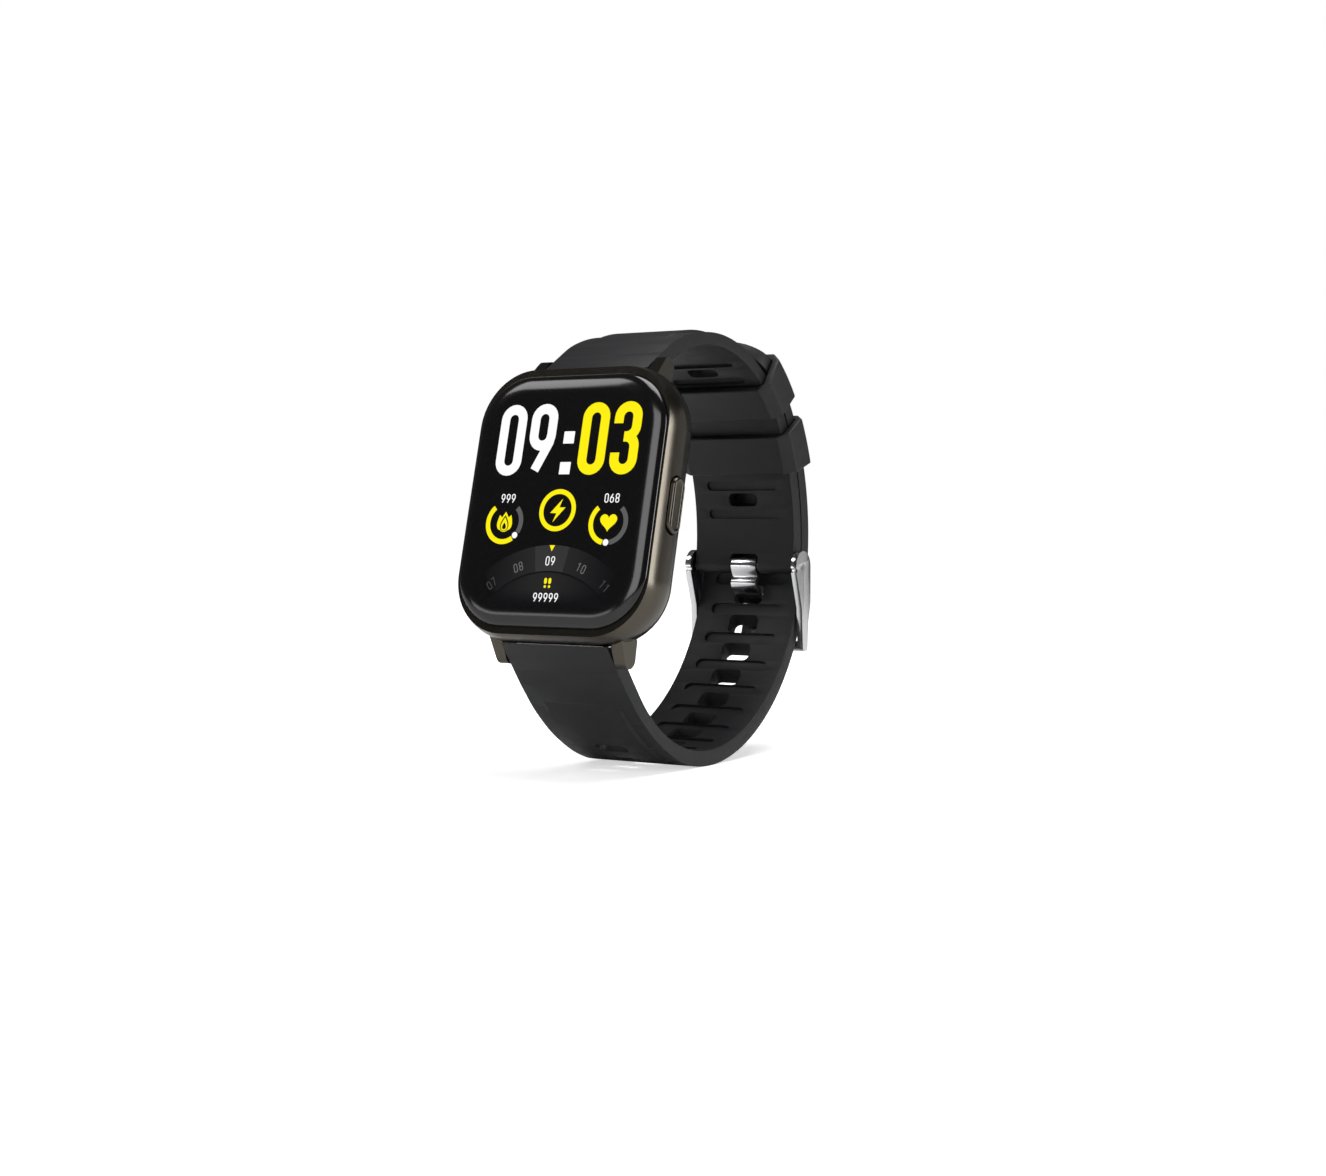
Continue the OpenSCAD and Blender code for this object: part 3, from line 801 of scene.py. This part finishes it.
def buckle():
    """Two polished arms and the bar across their far end, in one piece."""
    outline = arm_outline()

    def arms(bm):
        for turn in (-1, 1):
            prism(bm, outline, turn * ARM_INNER, turn * ARM_OUTER, across_place)

    def bar_hole(bm):
        beyond_arms = 20 * MM
        prism(bm, circle(BUCKLE_BAR, BAR_HOLE_RADIUS), -beyond_arms, beyond_arms, across_place)

    def cross(bm):
        half = ARM_INNER + 0.5 * MM
        prism(bm, circle(CROSS_BAR, CROSS_RADIUS * 0.98, 48), -half, half, across_place)

    mesh = boolean(mesh_from(arms, "buckle"), "DIFFERENCE", mesh_from(bar_hole, "hole"))
    mesh = bevelled(mesh, 0.18 * MM, 3, 40)
    mesh = boolean(mesh, "UNION", mesh_from(cross, "cross"))
    mesh.name = "buckle_arms"
    smooth_by_angle(mesh, 25)
    add_piece("buckle_arms", mesh, "buckle", "buckle_steel", ["buckle_frame"])


def smooth_line(points, steps):
    """A smooth line through points (Catmull-Rom)."""
    line = []
    padded = [2 * points[0] - points[1], *points, 2 * points[-1] - points[-2]]
    for a, b, c, d in zip(padded, padded[1:], padded[2:], padded[3:]):
        for i in range(steps):
            t = i / steps
            line.append(0.5 * (2 * b + (c - a) * t + (2 * a - 5 * b + 4 * c - d) * t * t
                               + (3 * b - a - 3 * c + d) * t ** 3))
    return line + [points[-1]]


def tang():
    """A flat pressed tongue: rolled round the bar, through a size hole, and over the cross bar."""
    half = 2.5 * MM
    thick = 0.9 * MM
    roll = 1.25 * MM
    entry = CLASP_CENTRE + (CLASP_RADIUS - 0.75 * MM) * heading(-15.4)
    leave = CLASP_CENTRE + (CLASP_RADIUS + THICK + 1.4 * MM) * heading(-19.6)
    tip = CLASP_CENTRE + (CROSS_RING + CROSS_RADIUS + 0.35 * MM + thick / 2) * heading(CROSS_HEADING - 1.5)
    curl = [Vector(p) for p in arc(BUCKLE_BAR, roll, -40, 205, 21)]
    waist = BUCKLE_BAR + Vector((-0.45 * MM, -2.0 * MM))
    knee = BUCKLE_BAR + Vector((-1.25 * MM, -3.1 * MM))
    shin = entry + Vector((-0.45 * MM, -0.4 * MM))
    line = curl[:-1] + smooth_line([curl[-1], waist, knee, shin, (entry + leave) / 2 + Vector((0, -0.5 * MM)),
                                    leave, (leave + 2 * tip) / 3, tip], 8)

    def build(bm):
        rings = []
        for i, point in enumerate(line):
            ahead = line[min(i + 1, len(line) - 1)] - line[max(i - 1, 0)]
            out = Vector((ahead.y, -ahead.x)).normalized() * thick / 2
            spots = [(-half, point - out), (half, point - out), (half, point + out), (-half, point + out)]
            rings.append([bm.verts.new((x, p.x, p.y)) for x, p in spots])
        stack_rings(bm, rings)

    mesh = bevelled(mesh_from(build, "buckle_tongue"), 0.15 * MM, 3, 50)
    mesh.name = "buckle_tongue"
    smooth_by_angle(mesh, 40)
    add_piece("buckle_tongue", mesh, "tang", "buckle_steel", ["buckle_tang"])


# ---------- glass and side button ----------


def cover_glass():
    """Black glass that rolls over at its edge, with a pocket for the display on its underside."""
    width, height, corner = 35.25 * MM, 41.25 * MM, 9.12 * MM
    rise, base = 1.4 * MM, 0.65 * MM
    edge = 3.3 * MM
    flat_margin = 0.4 * MM
    pocket_roof = 0.3 * MM
    steps = 12
    pocket = rounded_rectangle(32.6 * MM, 38.6 * MM, 7.8 * MM, 16)

    def build(bm):
        def ring(outline, level):
            return [bm.verts.new(on_face(x, z, level)) for x, z in outline]

        def inset(amount):
            return rounded_rectangle(width - 2 * amount, height - 2 * amount, corner - amount, 16)

        rings = [ring(inset(edge + flat_margin), 0)]
        for i in range(steps + 1):
            turn = radians(90 - 90 / steps * i)
            rings.append(ring(inset(edge * (1 - cos(turn))), -rise * (1 - sin(turn))))
        rings.append(ring(inset(0), -rise - base))
        rings.append(ring(pocket, -rise - base))
        rings.append(ring(pocket, pocket_roof - rise))
        stack_rings(bm, rings)

    mesh = mesh_from(build, "glass")
    smooth_by_angle(mesh, 40)
    add_piece("rolled_edge_glass", mesh, "watch", "cover_glass", ["cover_glass"])


def side_button():
    """A long pill with a raised rim round a shallow dish."""
    low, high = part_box("button_cap")
    length, width = 9.0 * MM, 3.2 * MM
    behind_glass = 5.0 * MM
    stem_radius = 0.8 * MM
    centre = GLASS_MIDDLE - OUTWARD * behind_glass
    face = high.x
    foot = face - 1.0 * MM
    # how far in from the cap's edge, and how far below its face, in millimetres
    rim = [(0, 0.35), (0.05, 0.2), (0.17, 0.07), (0.32, 0.01), (0.42, 0)]
    dish = [(0.52, 0.04), (0.62, 0.16), (0.8, 0.2)]

    def place(u, v, w):
        return Vector((w, 0, 0)) + Vector((0, centre.y, centre.z)) + UPWARD * u + OUTWARD * v

    def outline(inset):
        trim = 2 * inset * MM
        return rounded_rectangle(length - trim, width - trim, (width - trim) / 2 - HAIR, 12)

    def build(bm):
        levels = [(0, foot)] + [(inset, face - depth * MM) for inset, depth in rim + dish]
        stack_rings(bm, [[bm.verts.new(place(u, v, x)) for u, v in outline(inset)] for inset, x in levels])
        prism(bm, circle((0, 0), stem_radius), low.x, foot, place)

    mesh = mesh_from(build, "side_button")
    smooth_by_angle(mesh, 50)
    add_piece("side_button", mesh, "button", "case_metal", ["button_cap"])


# ---------- the picture on the screen ----------

FACE_SHIFT = 0.45 * MM
PIXEL_HEIGHT = 0.02 * MM
WHITE = (1.0, 1.0, 1.0)
YELLOW = (1.0, 0.87, 0.0)
GREY = (0.3, 0.3, 0.3)
NO_LENGTH = 1e-9
SHARPEST_MITRE = 0.35
LAYER_LIFT = 0.002 * MM

lit_white = lit("lit_white", WHITE, 1.0)
lit_yellow = lit("lit_yellow", YELLOW, 1.0)
lit_grey = lit("lit_grey", GREY, 0.35)


def face_place(u, v, w):
    """A place on the picture, in millimetres across and up and metres above the glass."""
    return on_face(u * MM + FACE_SHIFT, v * MM, w)


def stroke_outline(points, width):
    """Both sides of a line drawn with a pen of some width, as one outline."""
    left, right = [], []
    count = len(points)
    for i, (x, y) in enumerate(points):
        before = points[max(i - 1, 0)]
        after = points[min(i + 1, count - 1)]
        into = Vector((x - before[0], y - before[1]))
        onward = Vector((after[0] - x, after[1] - y))
        if into.length < NO_LENGTH:
            into = onward
        if onward.length < NO_LENGTH:
            onward = into
        into.normalize()
        onward.normalize()
        mean = (into + onward).normalized()
        normal = Vector((-mean.y, mean.x))
        reach = width / 2 / max(SHARPEST_MITRE, normal.dot(Vector((-into.y, into.x))))
        left.append((x + normal.x * reach, y + normal.y * reach))
        right.append((x - normal.x * reach, y - normal.y * reach))
    return left, right


def pen(bm, points, width, closed=False, lift=0.0):
    """Draws one stroke on the picture as a thin solid."""
    high = PIXEL_HEIGHT + lift
    if closed:
        around = points[-1:] + points + points[:1]
        left, right = stroke_outline(around, width)
        hollow_prism(bm, left[1:-1], right[1:-1], -PIXEL_HEIGHT, high, face_place)
    else:
        left, right = stroke_outline(points, width)
        prism(bm, left + right[::-1], -PIXEL_HEIGHT, high, face_place)


def glyph_strokes(digit, w):
    """Centre lines of a condensed digit in a box w wide and 1 high: a list of (points, closed)."""
    r = w / 2
    top = 1 - r

    def ring(low, high):
        return arc((r, high - r), r, 0, 180, 13) + arc((r, low + r), r, 180, 360, 13)

    nine_foot = 0.4
    nine_tail = [(w, nine_foot + r * 1.1), (0.94 * w, nine_foot + 0.3 * r), (0.3 * w, 0)]
    nine = [(ring(nine_foot, 1), True), (nine_tail, False)]
    if digit == "0":
        return [(ring(0, 1), True)]
    if digit == "1":
        return [([(0.1 * w, 0.82), (0.62 * w, 0.985), (0.62 * w, 0)], False)]
    if digit == "3":
        waist = 0.52
        bend = 0.5 * w
        upper = [(0, 1 - 1.62 * r)] + arc((r, top), r, 180, 0, 13) + [(w, waist + bend + 0.04)]
        upper += arc((w - bend, waist + bend), bend, 0, -90, 7) + [(0.38 * w, waist)]
        lower = arc((w - bend, waist - bend), bend, 80, 0, 7) + arc((r, r), r, 0, -180, 13) + [(0, 1.62 * r)]
        return [(upper, False), (lower, False)]
    if digit == "6":
        return [([(w - x, 1 - y) for x, y in points], closed) for points, closed in nine]
    if digit == "7":
        return [([(0, 1), (w, 1), (0.35 * w, 0)], False)]
    if digit == "8":
        return [(ring(0.5, 1), True), (ring(0, 0.5), True)]
    return nine


def draw_number(bm, text, middle_x, middle_z, height, pen_width, gap, turn=0.0, width_share=0.42):
    """Draws digits in a row about a middle point, turned by an angle in degrees."""
    tall = height - pen_width
    w = width_share
    advance = w * tall + pen_width + gap
    start = -advance * (len(text) - 1) / 2 - w * tall / 2
    c, s = cos(radians(turn)), sin(radians(turn))
    for n, digit in enumerate(text):
        for k, (points, closed) in enumerate(glyph_strokes(digit, w)):
            spots = [(start + n * advance + x * tall, (y - 0.5) * tall) for x, y in points]
            spots = [(middle_x + c * x - s * z, middle_z + s * x + c * z) for x, z in spots]
            pen(bm, spots, pen_width, closed, LAYER_LIFT * k)


def draw_plate(bm, outline, lift=0.0):
    prism(bm, outline, -PIXEL_HEIGHT, PIXEL_HEIGHT + lift, face_place)


def square(middle_x, middle_z, size):
    return rounded_rectangle(size, size, 0.05, 3, (middle_x, middle_z))


def heart_outline(middle_x, middle_z, size):
    """A heart from its usual parametric curve, about `size` wide."""
    outline = []
    for i in range(48):
        t = 2 * pi * (i + 0.5) / 48
        x = 16 * sin(t) ** 3
        z = 13 * cos(t) - 5 * cos(2 * t) - 2 * cos(3 * t) - cos(4 * t)
        outline.append((middle_x + x * size / 32, middle_z + z * size / 32))
    return outline


def drop_outline(middle_x, middle_z, width, height, lean=0.0):
    """A flame-like drop: round below and pointed above."""
    outline = []
    for i in range(40):
        t = 2 * pi * i / 40
        up = (1 - cos(t)) / 2
        side_way = sin(t) * (1 - up) ** 0.55 * 0.78
        outline.append((middle_x + width * side_way + lean * up ** 2, middle_z + height * (up - 0.4)))
    return outline


def screen_piece(name, build, material):
    mesh = mesh_from(build, name)
    mesh.materials.append(material)
    add_piece(name, mesh, "watch", "display_panel")


DIGIT_HEIGHT = 11.85
DIGIT_PEN = 1.65
DIGIT_WIDTH = 3.35 / (DIGIT_HEIGHT - DIGIT_PEN)
DIGIT_PITCH = 5.95
DIGIT_ADVANCE = 5.0
TIME_HEIGHT = 9.6
UPPER_DOT = 9.85
LOWER_DOT = 4.8
DOT_SIZE = 2.0


def draw_time():
    """Hours in white and minutes in yellow, with two square dots between them."""
    gap = DIGIT_PITCH - DIGIT_ADVANCE

    def hours(bm):
        draw_number(bm, "09", -7.85, TIME_HEIGHT, DIGIT_HEIGHT, DIGIT_PEN, gap, 0, DIGIT_WIDTH)
        for z in (UPPER_DOT, LOWER_DOT):
            draw_plate(bm, square(0.25, z, DOT_SIZE))

    def minutes(bm):
        draw_number(bm, "03", 7.9, TIME_HEIGHT, DIGIT_HEIGHT, DIGIT_PEN, gap, 0, DIGIT_WIDTH)

    screen_piece("screen_hours", hours, lit_white)
    screen_piece("screen_minutes", minutes, lit_yellow)


GAUGE_RADIUS = 3.18
GAUGE_PEN = 0.82
GAUGE_START = 131
GAUGE_END = 408
GAUGES = {-9.85: 318, 9.75: 270}
GAUGE_MIDDLE = -4.05
DOT_CLEARANCE = 12
DOT_RADIUS = 0.52
READING_HEIGHT = 1.5
READING_PEN = 0.16
READING_GAP = 0.27


def draw_gauges():
    """Two open ring gauges, each filled as far as its white dot, and a full ring between them."""

    def filled(bm):
        for x, dot in GAUGES.items():
            pen(bm, arc((x, GAUGE_MIDDLE), GAUGE_RADIUS, GAUGE_START, dot - DOT_CLEARANCE, 40), GAUGE_PEN)
        pen(bm, arc((0, -2.05), 3.03, 0, 352, 46), 0.78, closed=True)

    def empty(bm):
        for x, dot in GAUGES.items():
            pen(bm, arc((x, GAUGE_MIDDLE), GAUGE_RADIUS, dot + DOT_CLEARANCE, GAUGE_END, 30), GAUGE_PEN)

    def dots(bm):
        for x, dot in GAUGES.items():
            spot = arc((x, GAUGE_MIDDLE), GAUGE_RADIUS - 0.05, dot, dot, 2)[0]
            draw_plate(bm, circle(spot, DOT_RADIUS))
        draw_number(bm, "999", -9.75, -0.12, READING_HEIGHT, READING_PEN, READING_GAP)
        draw_number(bm, "068", 9.85, -0.1, READING_HEIGHT, READING_PEN, READING_GAP)

    screen_piece("screen_gauges", filled, lit_yellow)
    screen_piece("screen_gauges_empty", empty, lit_grey)
    screen_piece("screen_readings", dots, lit_white)


def draw_icons():
    """A lightning bolt, a flame, a heart and two footprints."""
    bolt = [(0.75, 1.85), (-1.3, -0.45), (-0.12, -0.5), (-0.65, -1.95), (1.45, 0.45), (0.3, 0.45)]

    def build(bm):
        draw_plate(bm, [(x, z - 2.05) for x, z in bolt])
        draw_plate(bm, heart_outline(9.75, -3.85, 3.1))
        draw_plate(bm, drop_outline(-9.8, -4.3, 1.75, 3.3))
        for lean in (-0.55, 0.55):
            draw_plate(bm, drop_outline(-9.8 + lean, -4.35, 1.4, 2.5, lean))
        draw_plate(bm, drop_outline(-9.8, -4.55, 1.1, 2.2), 0.008 * MM)
        for x in (-0.35, 0.45):
            draw_plate(bm, rounded_rectangle(0.52, 0.95, 0.25, 6, (x, -13.45)))
            draw_plate(bm, rounded_rectangle(0.42, 0.45, 0.2, 6, (x, -14.35)))
        draw_plate(bm, [(-0.5, -7.72), (0.5, -7.72), (0, -8.7)], 0.01 * MM)

    def hollow(bm):
        draw_plate(bm, drop_outline(-9.8, -4.45, 1.4, 2.65), 0.004 * MM)
        draw_plate(bm, drop_outline(-9.8, -4.75, 0.6, 1.1), 0.012 * MM)

    screen_piece("screen_icons", build, lit_yellow)
    screen_piece("screen_flame_heart", hollow, lit("lit_dark", (0.02, 0.02, 0.0), 0.02))


DIAL_MIDDLE = -26.7
DIAL_OUTER = 19.0
DIAL_INNER = 14.7
DIAL_GAP = 0.15
FIELD_GAP = 0.1
HOUR_RADIUS = 16.45
SCREEN_FOOT = -17.4
FADE_TOP = -14.5


def fade_from_middle(power, reach):
    """Emission that fades sideways and towards the lower edge of the screen."""

    def mask(m):
        place = m.place()
        split = m.add("ShaderNodeSeparateXYZ")
        m.join(place, split.inputs[0])
        across = m.add("ShaderNodeMath", operation="ABSOLUTE")
        m.join(split.outputs["X"], across.inputs[0])
        fall = m.add("ShaderNodeMapRange", interpolation_type="SMOOTHSTEP")
        fall.inputs["From Min"].default_value = 0
        fall.inputs["From Max"].default_value = reach
        fall.inputs["To Min"].default_value = power
        fall.inputs["To Max"].default_value = 0
        m.join(across.outputs[0], fall.inputs["Value"])
        low = on_face(0, SCREEN_FOOT * MM).z
        high = on_face(0, FADE_TOP * MM).z
        rise = m.add("ShaderNodeMapRange", interpolation_type="SMOOTHSTEP")
        rise.inputs["From Min"].default_value = low
        rise.inputs["From Max"].default_value = high
        m.join(split.outputs["Z"], rise.inputs["Value"])
        both = m.add("ShaderNodeMath", operation="MULTIPLY")
        m.join(fall.outputs[0], both.inputs[0])
        m.join(rise.outputs[0], both.inputs[1])
        return both.outputs[0]

    return mask


def draw_dial():
    """An hour arc along the bottom of the screen, its middle hour lit brighter."""

    def sector(bm, inner, outer, start, end, count, lift):
        centre = (0, DIAL_MIDDLE)
        outline = arc(centre, outer, start, end, count) + arc(centre, inner, end, start, count)
        draw_plate(bm, outline, lift)

    inner = DIAL_INNER + DIAL_GAP

    def hour_arc(bm):
        sector(bm, inner, DIAL_OUTER, 49, 131, 60, -0.012 * MM)

    def hour_now(bm):
        sector(bm, inner, DIAL_OUTER, 80.2, 99.8, 16, -0.008 * MM)

    def step_field(bm):
        radius = DIAL_INNER - FIELD_GAP
        half = degrees(acos((SCREEN_FOOT - DIAL_MIDDLE) / radius))
        draw_plate(bm, arc((0, DIAL_MIDDLE), radius, 90 - half, 90 + half, 50), -0.012 * MM)

    def hour(text, angle, material):
        spot = arc((0, DIAL_MIDDLE), HOUR_RADIUS, 90 - angle, 90 - angle, 2)[0]

        def build(bm):
            draw_number(bm, text, spot[0], spot[1], READING_HEIGHT, READING_PEN, 0.28, -angle)

        screen_piece("screen_hour_" + text, build, material)

    def steps(bm):
        draw_number(bm, "99999", 0.05, -16.1, 1.47, 0.17, READING_GAP)

    arc_glow = fade_from_middle(0.017, 14 * MM)
    field_glow = fade_from_middle(0.014, 12 * MM)
    screen_piece("screen_hour_arc", hour_arc, lit("lit_arc", WHITE, 0.02, arc_glow))
    screen_piece("screen_hour_now", hour_now, lit("lit_hour", WHITE, 0.03))
    screen_piece("screen_step_field", step_field, lit("lit_field", WHITE, 0.02, field_glow))
    hour("09", 0, lit_white)
    dim = lit("lit_dim", WHITE, 0.14)
    faint = lit("lit_faint", WHITE, 0.05)
    hour("08", -21, dim)
    hour("10", 21, dim)
    hour("07", -40, faint)
    hour("11", 40, faint)
    screen_piece("screen_steps", steps, lit_white)


# ---------- studio ----------


GLOW_START = 0.05
GLOW_END = 0.22
GLOW_NEAR = 0.58
GLOW_FAR = 1.0
FLOOR_HALF = 3.0
ROOM_GREY = 0.07


def rising_light(m):
    """Light that grows away from the watch, so that the far floor fades into the white behind it."""
    distance = m.add("ShaderNodeVectorMath", operation="LENGTH")
    m.join(m.place(), distance.inputs[0])
    rise = m.add("ShaderNodeMapRange", interpolation_type="SMOOTHSTEP")
    rise.inputs["From Min"].default_value = GLOW_START
    rise.inputs["From Max"].default_value = GLOW_END
    rise.inputs["To Min"].default_value = GLOW_NEAR
    rise.inputs["To Max"].default_value = GLOW_FAR
    m.join(distance.outputs["Value"], rise.inputs["Value"])
    seen = m.add("ShaderNodeLightPath")
    direct = m.add("ShaderNodeMath", operation="MULTIPLY")
    m.join(rise.outputs["Result"], direct.inputs[0])
    m.join(seen.outputs["Is Camera Ray"], direct.inputs[1])
    return direct.outputs[0]


def studio_floor():
    """A large pale floor under the watch."""
    corners = [(-FLOOR_HALF, -FLOOR_HALF), (FLOOR_HALF, -FLOOR_HALF), (FLOOR_HALF, FLOOR_HALF),
               (-FLOOR_HALF, FLOOR_HALF)]
    mesh = mesh_from(lambda bm: bm.faces.new([bm.verts.new((x, y, 0)) for x, y in corners]), "floor")
    m = Nodes("pale_floor", (0.9, 0.9, 0.9), 0.6)
    m.vary_roughness(5 * MM, 0.55, 0.65)
    m.set("Emission Color", (1, 1, 1, 1))
    m.join(rising_light(m), m.shader.inputs["Emission Strength"])
    mesh.materials.append(m.material)
    floor = bpy.data.objects.new("floor", mesh)
    bpy.context.scene.collection.objects.link(floor)


def studio_world():
    """White where the camera sees past the watch, and a dim grey light from all round."""
    world = bpy.data.worlds.new("studio")
    bpy.context.scene.world = world
    world.use_nodes = True
    nodes, links = world.node_tree.nodes, world.node_tree.links
    background = nodes["Background"]
    background.inputs["Strength"].default_value = 1.0
    seen = nodes.new("ShaderNodeLightPath")
    mix = nodes.new("ShaderNodeMix")
    mix.data_type = "RGBA"
    mix.inputs["A"].default_value = (ROOM_GREY, ROOM_GREY, ROOM_GREY, 1)
    mix.inputs["B"].default_value = (1.0, 1.0, 1.0, 1)
    links.new(seen.outputs["Is Camera Ray"], mix.inputs["Factor"])
    links.new(mix.outputs["Result"], background.inputs["Color"])


def area_light(name, place, target, width, height, power):
    light = bpy.data.lights.new(name, "AREA")
    light.shape = "RECTANGLE"
    light.size = width
    light.size_y = height
    light.energy = power
    lamp = bpy.data.objects.new(name, light)
    bpy.context.scene.collection.objects.link(lamp)
    lamp.location = place
    lamp.rotation_euler = (Vector(target) - Vector(place)).to_track_quat("-Z", "Y").to_euler()


def studio_lights():
    """Soft boxes above, two that the right side mirrors, and two in front for the glass's edges."""
    middle_of_watch = (0, 0, 0.04)
    # name, place, aim, width, height and power in watts
    area_light("overhead", (0.08, 0.05, 0.6), middle_of_watch, 0.4, 0.4, 3.0)
    area_light("above_left", (-0.33, -0.25, 0.47), middle_of_watch, 0.2, 0.2, 0.6)
    area_light("behind_right", (0.4, 0.58, 0.06), middle_of_watch, 0.4, 0.5, 0.22)
    area_light("right_strip", (0.57, 0.17, 0.05), middle_of_watch, 0.14, 0.6, 2.2)
    area_light("front_panel", (0.14, -0.62, 0.3), middle_of_watch, 0.36, 0.5, 1.9)
    area_light("front_left", (-0.38, -0.56, 0.02), middle_of_watch, 0.5, 0.09, 0.4)


def camera():
    """A long lens a third of a metre away, level with the middle of the case and right of its face."""
    scene = bpy.context.scene
    data = bpy.data.cameras.new("camera")
    data.sensor_width = 36
    data.lens = 56.65
    data.shift_x = 0.0764
    data.shift_y = -0.0665
    data.clip_start = 0.01
    view = bpy.data.objects.new("camera", data)
    scene.collection.objects.link(view)
    azimuth, elevation, reach = radians(33.62), radians(-0.28), 0.33
    target = GLASS_MIDDLE - OUTWARD * 1.4 * MM
    away = Vector((sin(azimuth) * cos(elevation), -cos(azimuth) * cos(elevation), sin(elevation)))
    view.location = target + away * reach
    view.rotation_euler = (-away).to_track_quat("-Z", "Y").to_euler()
    scene.camera = view


# ---------- everything ----------

dress_cad_nodes()
shorten_springs()
short_strap()
long_strap()
keeper("upper_loop", "keeper_upper", "upper_keeper", TOP_CENTRE, TOP_RADIUS, 37.5, 52.5)
keeper("lower_loop", "keeper_lower", "lower_keeper", BACK_CENTRE, BACK_RADIUS, 18, 30)
buckle()
tang()
cover_glass()
side_button()
draw_time()
draw_gauges()
draw_icons()
draw_dial()
studio_floor()
studio_world()
studio_lights()
camera()
bpy.context.scene.view_settings.view_transform = "Standard"
